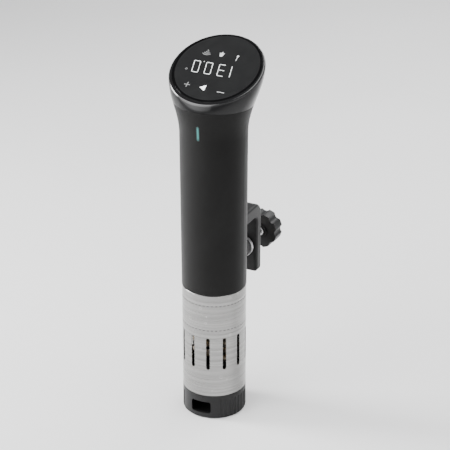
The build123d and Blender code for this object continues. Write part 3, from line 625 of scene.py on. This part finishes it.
# %% Make the lit finishes
light_tree, light_shader = new_finish("light_teal", Roughness=0.3, Emission_Strength=0.3)
light_place = add_node(light_tree, "ShaderNodeTexCoord")
light_axes = add_node(
    light_tree, "ShaderNodeSeparateXYZ", None, {"Vector": light_place.outputs["Object"]}
)
light_low, light_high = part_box("status_light")
light_middle = (light_low.z + light_high.z) / 2


def fade(tree, value, middle, near, far):
    """1 within near of the middle, falling to 0 at far."""
    away = add_node(tree, "ShaderNodeMath", {"operation": "SUBTRACT"}, {0: value, 1: middle})
    size = add_node(tree, "ShaderNodeMath", {"operation": "ABSOLUTE"}, {0: away.outputs[0]})
    falling = add_node(
        tree,
        "ShaderNodeMapRange",
        {"interpolation_type": "SMOOTHSTEP"},
        {"Value": size.outputs[0], "From Min": far, "From Max": near},
    )
    return falling.outputs[0]


across = fade(light_tree, light_axes.outputs["X"], 0.0, 0.2 * MM, 1.05 * MM)
upward = fade(light_tree, light_axes.outputs["Z"], light_middle, 3.2 * MM, 6.4 * MM)
core = add_node(
    light_tree, "ShaderNodeMath", {"operation": "MULTIPLY"}, {0: across, 1: upward}
)
glow = vary_colour(light_tree, (0.002, 0.050, 0.050), (0.05, 0.72, 0.66), core.outputs[0])
light_tree.links.new(glow, light_shader.inputs["Emission Color"])
# The pipe's base colour is also lighter at the core: painted lamp light in the plastic's own
# colour, beside the real glow.
pipe_tint_and_painted_glow = vary_colour(light_tree, (0.002, 0.016, 0.016), (0.008, 0.09, 0.085), core.outputs[0])
light_tree.links.new(pipe_tint_and_painted_glow, light_shader.inputs["Base Color"])
print("status light glows about z =", round(light_middle, 4), "m")


def lamp(slot, colour, strength, mottled=0.88):
    """A lit print whose patches are dimmed to a share of its colour."""
    tree, shader = new_finish(slot, Roughness=0.5, Emission_Strength=strength)
    mottle = use_group(tree, moulded_grain, Patches_per_metre=500.0)
    dimmer = tuple(part * mottled for part in colour)
    shown = vary_colour(tree, colour, dimmer, mottle.outputs["Patches"])
    tree.links.new(shown, shader.inputs["Emission Color"])
    tree.links.new(shown, shader.inputs["Base Color"])


lamp("lamp_white", (0.70, 0.72, 0.72), 0.55)
lamp("icon_lit", (0.50, 0.51, 0.51), 0.5)
lamp("key_lit", (0.90, 0.92, 0.92), 2.2)
lamp("icon_dim", (0.16, 0.163, 0.163), 0.5)
print("lit finishes made; finishes in all:", len(finishes))

# %% [markdown]
# ## Give every solid part its finish
#
# The record that came with the frame says which material slot each part uses. Reading it
# keeps one list for both looks and engineering. Only the material is swapped; the mesh of a
# solid part is left exactly as it came.

# %% Assign finishes by slot
slot_of = {part["node"]: part["material_slot"] for part in frame["record"]["subparts"]}
for name, part in nodes.items():
    part.data.materials.clear()
    part.data.materials.append(finishes[slot_of[name]])
print("finished", len(slot_of), "solid parts with", len(set(slot_of.values())), "materials")

# %% [markdown]
# ## Find the plane of the control face
#
# The glass is tilted, and everything printed on it must lie in its plane. The plane could be
# typed in as an angle, but it is safer to read it from the glass itself: its largest facet
# gives the direction, and the points that lie furthest along that direction give the centre.

# %% Read the face plane from the glass
glass_mesh = nodes["display_lens"].data
flatness = 0.01 * MM
largest = max(glass_mesh.polygons, key=lambda facet: facet.area)
face_out = Vector(largest.normal)
if face_out.z < 0:
    face_out = -face_out
reach = max(face_out.dot(point.co) for point in glass_mesh.vertices)
top_points = [p.co for p in glass_mesh.vertices if reach - face_out.dot(p.co) < flatness]
face_middle = Vector(
    [(min(p[k] for p in top_points) + max(p[k] for p in top_points)) / 2 for k in range(3)]
)
face_right = Vector((1, 0, 0))
face_back = face_out.cross(face_right)
print("face centre", [round(n, 4) for n in face_middle],
      "tilt", round(math.degrees(math.acos(face_out.z)), 1), "degrees")

# %% [markdown]
# ## The polished lip of the head
#
# The rounded lip between the face and the head's side is polished once more than the rest, so
# it draws a thin line of light along the front. It is the part of the head that lies close
# under the face's plane. A dot product measures how far a point stands above that plane, and
# it drives the Coat Weight, a clear layer over the plastic. A separate ring would need its own
# gap and mount; a coat that comes and goes on one moulding does not.

# %% Polish the lip
polish_begins = -1.7 * MM
polish_full = -0.9 * MM
polish = 0.6
head_tree = finishes["head_black"].node_tree
head_shader = head_tree.nodes["Principled BSDF"]
head_place = add_node(head_tree, "ShaderNodeTexCoord")
from_face = add_node(
    head_tree,
    "ShaderNodeVectorMath",
    {"operation": "SUBTRACT"},
    {0: head_place.outputs["Object"], 1: face_middle},
)
above_face = add_node(
    head_tree,
    "ShaderNodeVectorMath",
    {"operation": "DOT_PRODUCT"},
    {0: from_face.outputs[0], 1: face_out},
)
on_lip = add_node(
    head_tree,
    "ShaderNodeMapRange",
    {"interpolation_type": "SMOOTHSTEP"},
    {
        "Value": above_face.outputs["Value"],
        "From Min": polish_begins,
        "From Max": polish_full,
        "To Max": polish,
    },
)
head_tree.links.new(on_lip.outputs[0], head_shader.inputs["Coat Weight"])
print("lip polished; head finish has", len(head_tree.nodes), "nodes")

# %% [markdown]
# ## From a flat outline to a lit sign
#
# The numbers and icons face the person who stands behind the pot, so seen from the front they
# are upside down. Each sign is a flat outline in millimetres, drawn upright about its own
# centre. `lit_sign` turns it half round, lays it on the face and gives it a height of a few
# hundredths of a millimetre. An image would be quicker, but shapes stay sharp at any distance.

# %% Lay flat outlines on the face
sign_sunk = 0.02 * MM
sign_proud = 0.03 * MM


def close_plate(mesh, under, over):
    """The faces between two matching outlines: both flat sides and the rim."""
    mesh.faces.new(over)
    mesh.faces.new(list(reversed(under)))
    for k in range(len(over)):
        after = (k + 1) % len(over)
        mesh.faces.new((under[k], under[after], over[after], over[k]))


def lit_sign(name, outlines, across, towards_front, finish):
    """Flat outlines in reading position, laid half-turned on the face as thin plates."""
    mesh = bmesh.new()
    for outline in outlines:
        bottom, top = [], []
        for x, y in outline:
            sideways = face_right * (across - x) * MM
            forward = face_back * (towards_front + y) * MM
            flat = face_middle + sideways - forward
            bottom.append(mesh.verts.new(flat - face_out * sign_sunk))
            top.append(mesh.verts.new(flat + face_out * sign_proud))
        close_plate(mesh, bottom, top)
    bmesh.ops.recalc_face_normals(mesh, faces=mesh.faces)
    finish_piece(name, mesh, finish, "circulator")


def finish_piece(name, mesh, finish, ride_on):
    """Turns working mesh into an object with its material, slot and moving body."""
    data = bpy.data.meshes.new(name)
    mesh.to_mesh(data)
    mesh.free()
    piece = bpy.data.objects.new(name, data)
    bpy.context.scene.collection.objects.link(piece)
    data.materials.append(finishes[finish])
    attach(piece, ride_on)
    return piece


print("helpers ready: close_plate, lit_sign, finish_piece")

# %% [markdown]
# ## The readout
#
# The readout is made of straight segments, as on any seven-bar display: each numeral is a
# choice among the same seven bars. A font would need its own file and would not lean or thin
# like a display's bars, so `bar` draws one segment with pointed ends, and a table says which
# segments each numeral lights. Lengths are in millimetres.

# %% Draw the readout
def bar(x0, y0, x1, y1, thick=0.64, gap=0.10, slant=-0.18):
    """One display segment: a bar with pointed ends, leaning a little."""
    run = Vector((x1 - x0, y1 - y0))
    along = run.normalized()
    side = Vector((-along.y, along.x)) * thick / 2
    start = Vector((x0, y0)) + along * gap
    end = Vector((x1, y1)) - along * gap
    tip = along * thick / 2
    upper = [start + tip + side, end - tip + side]
    lower = [end - tip - side, start + tip - side]
    return [(c.x + c.y * slant, c.y) for c in [start, *upper, end, *lower]]


half_width, half_height = 2.7, 5.9
segments = {
    "top": (-half_width, half_height, half_width, half_height),
    "upper_right": (half_width, half_height, half_width, 0),
    "lower_right": (half_width, 0, half_width, -half_height),
    "bottom": (-half_width, -half_height, half_width, -half_height),
    "lower_left": (-half_width, 0, -half_width, -half_height),
    "upper_left": (-half_width, half_height, -half_width, 0),
    "middle": (-half_width, 0, half_width, 0),
}
numerals = {
    "0": ["top", "upper_right", "lower_right", "bottom", "lower_left", "upper_left"],
    "1": ["upper_right", "lower_right"],
    "3": ["top", "upper_right", "middle", "lower_right", "bottom"],
}
# Each numeral with its place across the face.
readout = [("1", 15.6), ("3", 4.6), ("0", -6.9), ("0", -17.9)]
readout_forward = 1.5
for place, (numeral, across) in enumerate(readout):
    outlines = [bar(*segments[name]) for name in numerals[numeral]]
    lit_sign(f"readout_{place}_{numeral}", outlines, across, readout_forward, "lamp_white")


def disc(x, y, radius, sides=20):
    """A round outline."""
    turns = [math.tau * k / sides for k in range(sides)]
    return [(x + radius * math.cos(turn), y + radius * math.sin(turn)) for turn in turns]


lit_sign("readout_point", [disc(0, 0, 0.42)], -13.4, -4.6, "lamp_white")
print("readout of", len(readout), "numerals and a point")

# %% [markdown]
# ## The icons and keys
#
# Behind the numbers are three small signs, for a radio link, a timer's bell and a thermometer,
# and in front of them are the keys for more, start and less. A degree ring follows the last
# numeral. At this size simple shapes read best, so nearly all are put together from discs,
# rectangles and curved bands. A list gives each its place on the face and its finish, so one
# loop draws them all.

# %% Draw the icons
def band(x, y, inner, outer, start, end, steps=14):
    """A curved band between two angles in degrees, as one outline."""
    angles = [math.radians(start + (end - start) * k / steps) for k in range(steps + 1)]
    far = [(x + outer * math.cos(a), y + outer * math.sin(a)) for a in angles]
    near = [(x + inner * math.cos(a), y + inner * math.sin(a)) for a in reversed(angles)]
    return far + near


def block(x, y, width, height):
    """A plain rectangle about a point."""
    corners = ((-1, -1), (1, -1), (1, 1), (-1, 1))
    return [(x + side * width / 2, y + end * height / 2) for side, end in corners]


radio_waves = [disc(0, -2.4, 0.65)]
radio_waves += [band(0, -2.4, inner, inner + 0.75, 45, 135) for inner in (1.6, 3.1, 4.6)]
bell_side = [(2.5, -1.6), (1.8, -0.8), (1.6, 0.8), (1.0, 1.9), (0.3, 2.3)]
bell = [bell_side + [(-x, y) for x, y in reversed(bell_side)], disc(0, -2.2, 0.6)]
thermometer = [disc(0, -1.9, 1.0), block(0, 0.8, 0.6, 4.2)]
plus = [block(0, 0, 5.0, 0.85), block(0, 1.5, 0.85, 2.1), block(0, -1.5, 0.85, 2.1)]
minus = [block(0, 0, 6.2, 0.5)]
play = [[(-2.1, -2.9), (2.8, 0.0), (-2.1, 2.9)]]
degree = [band(0, 0, 0.55, 1.0, 0, 175), band(0, 0, 0.55, 1.0, 180, 355)]
# Name, outlines, place across the face, place towards the front, finish.
icons = [
    ("icon_radio", radio_waves, -15.0, -14.5, "icon_dim"),
    ("icon_bell", bell, -2.0, -14.6, "icon_lit"),
    ("icon_thermometer", thermometer, 12.2, -13.6, "icon_lit"),
    ("icon_degree", degree, -25.0, 5.5, "icon_dim"),
    ("key_plus", plus, -17.2, 21.3, "icon_dim"),
    ("key_start", play, -3.0, 21.9, "key_lit"),
    ("key_minus", minus, 13.4, 23.7, "icon_lit"),
]
for name, outlines, across, forward, finish in icons:
    lit_sign(name, outlines, across, forward, finish)
print("icons:", [icon[0] for icon in icons])

# %% [markdown]
# ## Geometry Nodes: a tree becomes a mesh
#
# What repeats, or follows a rule, is grown by Geometry Nodes, so that one number changes all
# of it. `geometry_tree` starts a tree with named inputs. `grow` sets those inputs on a
# modifier, lets Blender work the tree out once, keeps the result as a plain mesh and takes the
# modifier away. Keeping the modifier would leave the shape to be worked out again everywhere.

# %% Helpers for geometry trees
def geometry_tree(name, inputs):
    """A geometry tree with named inputs; returns the tree, its start and end nodes."""
    tree = bpy.data.node_groups.new(name, "GeometryNodeTree")
    kinds = {float: "NodeSocketFloat", int: "NodeSocketInt"}
    for label, value in inputs.items():
        socket = tree.interface.new_socket(
            name=label, in_out="INPUT", socket_type=kinds[type(value)]
        )
        socket.default_value = value
    tree.interface.new_socket(name="Geometry", in_out="OUTPUT", socket_type="NodeSocketGeometry")
    return tree, add_node(tree, "NodeGroupInput"), add_node(tree, "NodeGroupOutput")


def end_tree(tree, end, geometry, finish):
    """Realizes instances and sets the material, which every tree ends with."""
    real = add_node(tree, "GeometryNodeRealizeInstances", None, {"Geometry": geometry})
    coloured = add_node(
        tree,
        "GeometryNodeSetMaterial",
        None,
        {"Geometry": real.outputs[0], "Material": finishes[finish]},
    )
    tree.links.new(coloured.outputs[0], end.inputs[0])


def grow(name, tree, values, place, ride_on, sharp=38):
    """Keeps a tree's result as a plain mesh; edges over sharp degrees stay sharp."""
    piece = bpy.data.objects.new(name, bpy.data.meshes.new(name))
    bpy.context.scene.collection.objects.link(piece)
    modifier = piece.modifiers.new("grow", "NODES")
    modifier.node_group = tree
    for socket in tree.interface.items_tree:
        if socket.in_out == "INPUT" and socket.name in values:
            modifier[socket.identifier] = values[socket.name]
    bpy.context.view_layer.update()
    worked = piece.evaluated_get(bpy.context.evaluated_depsgraph_get())
    data = bpy.data.meshes.new_from_object(worked)
    piece.modifiers.remove(modifier)
    data.transform(place)
    data.set_sharp_from_angle(angle=math.radians(sharp))
    piece.data = data
    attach(piece, ride_on)
    print(name, "has", len(data.polygons), "faces")


print("helpers ready: geometry_tree, end_tree, grow")

# %% [markdown]
# ## The clamp screw and its thread
#
# The clamp screw is a round bar with a coarse rounded thread. In the engineering model it is a
# plain rod at the thread's full size. Here the bar is a little thinner, and a ridge winds
# round it, so crest to crest it is as thick as before and still clears its brass nut. The
# ridge is a small six-sided outline swept along a spiral. The spiral's pitch and turns are
# inputs, and its height is the one times the other.

# %% Grow the thread
screw_low, screw_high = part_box("clamp_screw")
screw_height = (screw_low.z + screw_high.z) / 2
screw_radius = (screw_high.z - screw_low.z) / 2
knob_low, knob_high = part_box("clamp_knob")
thread_pitch = 2.5 * MM
ridge = 0.55 * MM
bar_radius = screw_radius - ridge
thread_start = screw_low.y + 4.2 * MM
thread_end_y = knob_low.y - 1.0 * MM
thread_turns = int((thread_end_y - thread_start) / thread_pitch)

thread_tree, thread_in, thread_end = geometry_tree(
    "Wound thread",
    {"Radius": 0.0034, "Ridge": 0.0005, "Pitch": 0.0025, "Turns": 10, "Steps": 40},
)
rise = add_node(
    thread_tree,
    "ShaderNodeMath",
    {"operation": "MULTIPLY"},
    {0: thread_in.outputs["Pitch"], 1: thread_in.outputs["Turns"]},
)
winding = add_node(
    thread_tree,
    "GeometryNodeCurveSpiral",
    None,
    {
        "Resolution": thread_in.outputs["Steps"],
        "Rotations": thread_in.outputs["Turns"],
        "Start Radius": thread_in.outputs["Radius"],
        "End Radius": thread_in.outputs["Radius"],
        "Height": rise.outputs[0],
    },
)
outline = add_node(
    thread_tree,
    "GeometryNodeCurvePrimitiveCircle",
    None,
    {"Resolution": 6, "Radius": thread_in.outputs["Ridge"]},
)
wound = add_node(
    thread_tree,
    "GeometryNodeCurveToMesh",
    None,
    {"Curve": winding.outputs[0], "Profile Curve": outline.outputs[0], "Fill Caps": True},
)
end_tree(thread_tree, thread_end, wound.outputs[0], "plain_steel")


def laid_back(y):
    """A place on the screw's axis: what grew along Z lies along Y there."""
    return Matrix.Translation((0, y, screw_height)) @ Matrix.Rotation(math.radians(-90), 4, "X")


grow(
    "clamp_screw_thread",
    thread_tree,
    {"Radius": bar_radius, "Ridge": ridge, "Pitch": thread_pitch, "Turns": thread_turns},
    laid_back(thread_start),
    "clamp_screw",
)

# %% [markdown]
# ## The bar inside the thread
#
# The bar is a turned part: a plain tip that swivels in the pressure plate, a long middle under
# the thread, and a full-size end in the knob. A lathe makes such a part from one half outline,
# and so does the code, which spins the outline round the axis. Each small step in the outline
# is a chamfer, which catches a line of light as a cut edge does.

# %% Turn the bar of the clamp screw
def turned_piece(name, outline, centre_z, finish, ride_on, sides=64, sharp=30):
    """Spins a list of (radius, distance along Y) round a level axis into a closed solid."""
    mesh = bmesh.new()
    rings = []
    for radius, along in outline:
        if radius == 0:
            rings.append([mesh.verts.new((0, along, centre_z))])
            continue
        angles = [math.tau * k / sides for k in range(sides)]
        rings.append(
            [
                mesh.verts.new((radius * math.cos(a), along, centre_z + radius * math.sin(a)))
                for a in angles
            ]
        )
    for near, far in zip(rings, rings[1:]):
        for k in range(sides):
            after = (k + 1) % sides
            corners = [near[k % len(near)], near[after % len(near)]]
            corners += [far[after % len(far)], far[k % len(far)]]
            mesh.faces.new(list(dict.fromkeys(corners)))
    bmesh.ops.recalc_face_normals(mesh, faces=mesh.faces)
    for face in mesh.faces:
        face.smooth = True
    piece = finish_piece(name, mesh, finish, ride_on)
    piece.data.set_sharp_from_angle(angle=math.radians(sharp))
    return piece


tip = 2.4 * MM
neck = screw_low.y + 2.8 * MM
chamfer = 0.4 * MM
taper = 0.6 * MM
screw_bar = turned_piece(
    "clamp_screw_bar",
    [
        (0, screw_low.y),
        (tip - chamfer, screw_low.y),
        (tip, screw_low.y + chamfer),
        (tip, neck),
        (bar_radius - chamfer, neck),
        (bar_radius, neck + taper),
        (bar_radius, knob_low.y - 2 * taper),
        (screw_radius, knob_low.y - taper),
        (screw_radius, screw_high.y),
        (0, screw_high.y),
    ],
    screw_height,
    "plain_steel",
    "clamp_screw",
)
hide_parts("clamp_screw")
print("bar radius", round(bar_radius / MM, 2), "mm, thread turns", thread_turns)

# %% [markdown]
# ## Grip ribs on the knob
#
# Short raised ribs stand in a circle on the knob's outer face, so wet fingers don't slip. One
# rib is a small block, and a circle of points carries a copy at each point, turned to face
# outwards. The direction from the centre to the point gives that turn. The whole circle can be
# copied again in rows, one above another, which the next step uses.

# %% Grow the ribs
def ring_of_blocks(name, finish):
    """A tree that stands blocks round a circle in the XY plane, facing outwards."""
    tree, start, end = geometry_tree(
        name,
        {
            "Count": 24,
            "Ring": 0.01,
            "Length": 0.003,
            "Width": 0.0006,
            "Height": 0.0006,
            "Rows": 1,
            "Row gap": 0.01,
        },
    )
    ring = add_node(
        tree,
        "GeometryNodeMeshCircle",
        None,
        {"Vertices": start.outputs["Count"], "Radius": start.outputs["Ring"]},
    )
    size = add_node(
        tree,
        "ShaderNodeCombineXYZ",
        None,
        {"X": start.outputs["Length"], "Y": start.outputs["Width"], "Z": start.outputs["Height"]},
    )
    one = add_node(tree, "GeometryNodeMeshCube", None, {"Size": size.outputs[0]})
    spot = add_node(tree, "GeometryNodeInputPosition")
    facing = add_node(
        tree, "FunctionNodeAlignRotationToVector", {"axis": "X"}, {"Vector": spot.outputs[0]}
    )
    copies = add_node(
        tree,
        "GeometryNodeInstanceOnPoints",
        None,
        {"Points": ring.outputs[0], "Instance": one.outputs[0], "Rotation": facing.outputs[0]},
    )
    step = add_node(tree, "ShaderNodeCombineXYZ", None, {"Z": start.outputs["Row gap"]})
    rows = add_node(
        tree,
        "GeometryNodeMeshLine",
        None,
        {"Count": start.outputs["Rows"], "Offset": step.outputs[0]},
    )
    stacked = add_node(
        tree,
        "GeometryNodeInstanceOnPoints",
        None,
        {"Points": rows.outputs[0], "Instance": copies.outputs[0]},
    )
    end_tree(tree, end, stacked.outputs[0], finish)
    return tree


# The middle of each rib lies this far above the face, so its lower part is sunk in it.
rib_middle = 0.1 * MM
grow(
    "knob_ribs",
    ring_of_blocks("Ribs round the knob", "bracket_black"),
    {"Count": 40, "Ring": 11.6 * MM, "Length": 2.6 * MM, "Width": 0.7 * MM, "Height": 0.7 * MM},
    laid_back(knob_high.y + rib_middle),
    "clamp_screw",
)

# %% [markdown]
# ## Fill lines on the skirt
#
# The water must reach the inlet slots and must not reach the casing, so such a skirt carries
# a lower and an upper fill line. Here they are dashes etched on the steel, dark and almost
# flat. They are the same circle of blocks as the ribs, with thin wide copies in two rows.

# %% Grow the fill lines
skirt_low, skirt_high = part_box("skirt")
skirt_radius = skirt_high.x
etched_tree, etched_shader = new_finish("etched_mark", Metallic=0.6)
etched_grain = use_group(etched_tree, moulded_grain, Grain_per_metre=4000.0)
etched_colour = vary_colour(
    etched_tree, (0.045, 0.045, 0.045), (0.08, 0.08, 0.08), etched_grain.outputs["Patches"]
)
etched_tree.links.new(etched_colour, etched_shader.inputs["Base Color"])
vary_roughness(etched_tree, etched_shader, etched_grain.outputs["Patches"], 0.5, 0.7)
lower_line = skirt_low.z + 63.0 * MM
grow(
    "fill_lines",
    ring_of_blocks("Dashes round the skirt", "etched_mark"),
    {
        "Count": 48,
        "Ring": skirt_radius - 0.02 * MM,
        "Length": 0.08 * MM,
        "Width": 1.9 * MM,
        "Height": 0.6 * MM,
        "Rows": 2,
        "Row gap": 23.0 * MM,
    },
    Matrix.Translation((0, 0, lower_line)),
    "skirt",
)

# %% [markdown]
# ## An arrow for the jet
#
# The flow cap turns, so the cook needs to see where the water will come out. A small raised
# arrow above the window says so. It is a flat outline bent to the cap: each corner is put at
# the cap's radius, at the angle that its distance from the middle asks for.

# %% Raise the arrow on the flow cap
cap_low, cap_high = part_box("flow_cap")
cap_radius = cap_high.x
arrow_height = 19.0
arrow_sides = [cap_radius - 0.1 * MM, cap_radius + 0.18 * MM]
arrow_half = [(0, -1.6), (1.9, 0.5), (0.75, 0.5), (0.75, 1.9)]
arrow_outline = arrow_half + [(-x, z) for x, z in reversed(arrow_half[1:])]
arrow = bmesh.new()
rings = []
for radius in arrow_sides:
    corners = []
    for x, z in arrow_outline:
        turn = x * MM / cap_radius
        height = cap_low.z + (arrow_height + z) * MM
        corners.append(arrow.verts.new((radius * math.sin(turn), -radius * math.cos(turn), height)))
    rings.append(corners)
close_plate(arrow, rings[0], rings[1])
bmesh.ops.recalc_face_normals(arrow, faces=arrow.faces)
finish_piece("jet_arrow", arrow, "cap_plastic", "flow_cap")
print("arrow stands on a cap of radius", round(cap_radius / MM, 1), "mm")

# %% [markdown]
# ## A pale floor
#
# The floor only has to be pale and plain, but a perfectly even one looks like a cut-out. A very
# slow, very faint change of shade and roughness makes it read as painted board. It is a stage,
# not part of the object, so it is marked as one.

# %% Lay the floor
floor_half = 6.0
floor_tree, floor_shader = new_finish("studio_floor")
floor_grain = use_group(floor_tree, moulded_grain, Grain_per_metre=300.0, Patches_per_metre=3.0)
floor_colour = vary_colour(
    floor_tree, (0.86, 0.86, 0.86), (0.88, 0.88, 0.88), floor_grain.outputs["Patches"]
)
floor_tree.links.new(floor_colour, floor_shader.inputs["Base Color"])
vary_roughness(floor_tree, floor_shader, floor_grain.outputs["Patches"], 0.6, 0.75)
floor_mesh = bmesh.new()
bmesh.ops.create_grid(floor_mesh, x_segments=1, y_segments=1, size=floor_half)
floor_data = bpy.data.meshes.new("studio_floor")
floor_mesh.to_mesh(floor_data)
floor_mesh.free()
floor = bpy.data.objects.new("studio_floor", floor_data)
bpy.context.scene.collection.objects.link(floor)
floor_data.materials.append(finishes["studio_floor"])
floor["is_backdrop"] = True
print("floor laid at z = 0")

# %% [markdown]
# ## Soft studio light
#
# A dark object needs large soft lights, because on black plastic only reflections show the
# shape. A tall strip on the left draws the long highlight down the body. A broad wall and a
# low card, both at the front left, fill the polished band under the face from above and below.
# A panel behind lights the rim of the head, and a large one overhead softens the shadow. The
# three on the left throw a narrower cone than a bare panel, so that they leave no edge on the
# floor. The sky is bright at the horizon and grey overhead, because the glass mirrors what is
# overhead and has to stay dark.

# %% Set the lights
middle = (cad_box[0] + cad_box[1]) / 2


def panel(name, place, width, height, power, aim=middle, spread=180):
    """A soft rectangular light at a place, turned to face a point, within a cone in degrees."""
    light = bpy.data.lights.new(name, "AREA")
    light.shape = "RECTANGLE"
    light.size = width
    light.size_y = height
    light.energy = power
    light.spread = math.radians(spread)
    holder = bpy.data.objects.new(name, light)
    holder.location = place
    holder.rotation_euler = (aim - Vector(place)).to_track_quat("-Z", "Y").to_euler()
    bpy.context.scene.collection.objects.link(holder)


head_aim = Vector((0, 0, 0.26))
panel("left_strip", (-1.75, -0.40, 0.80), 0.65, 1.1, 17.0, head_aim, 80)
panel("front_left_wall", (-0.70, -1.04, 0.98), 1.7, 1.0, 10.0, head_aim, 90)
panel("low_card", (-0.73, -1.08, 0.26), 1.8, 0.36, 2.6, head_aim, 90)
panel("back_panel", (0.3, 1.2, 1.0), 0.9, 0.5, 10.0)
panel("top_panel", (0.55, 0.1, 1.9), 1.6, 1.6, 30.0)
world = bpy.data.worlds.new("studio")
bpy.context.scene.world = world
world.use_nodes = True
sky = world.node_tree
sky_way = add_node(sky, "ShaderNodeTexCoord")
sky_axes = add_node(sky, "ShaderNodeSeparateXYZ", None, {"Vector": sky_way.outputs["Generated"]})
sky_height = add_node(
    sky,
    "ShaderNodeMapRange",
    None,
    {"Value": sky_axes.outputs["Z"], "From Min": 0.30, "From Max": 0.85},
)
sky_colour = vary_colour(sky, (0.95, 0.955, 0.97), (0.25, 0.252, 0.256), sky_height.outputs[0])
sky.links.new(sky_colour, sky.nodes["Background"].inputs["Color"])

# %% [markdown]
# ## The camera
#
# The camera stands about a metre and a half away, a little to the right, and looks down on the
# object through a long lens, which keeps its upright lines nearly parallel. It aims in front
# of the middle of the box, because the wand stands there and only the clamp reaches behind it.

# %% Stand the camera
camera_round = math.radians(26.2)
camera_up = math.radians(24.9)
camera_away = 1.43
aim_share = 0.55
aim = Vector((0.0, middle.y * aim_share, middle.z))
lens = bpy.data.cameras.new("studio_camera")
camera = bpy.data.objects.new("studio_camera", lens)
camera.location = aim + camera_away * Vector(
    (
        math.sin(camera_round) * math.cos(camera_up),
        -math.cos(camera_round) * math.cos(camera_up),
        math.sin(camera_up),
    )
)
camera.rotation_euler = (aim - camera.location).to_track_quat("-Z", "Y").to_euler()
lens.lens = 136
bpy.context.scene.collection.objects.link(camera)
bpy.context.scene.camera = camera
print("camera at", [round(n, 3) for n in camera.location])

# %% [markdown]
# ## Check the size
#
# Looks must not change dimensions, so the box round the finished object is compared with the
# box round the solid parts.

# %% Compare boxes and finish
made_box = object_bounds()
growth = [max(abs(a - b) for a, b in zip(c, v)) for c, v in zip(cad_box, made_box)]
print("largest change of the box, in mm:", round(max(growth) / MM, 3))
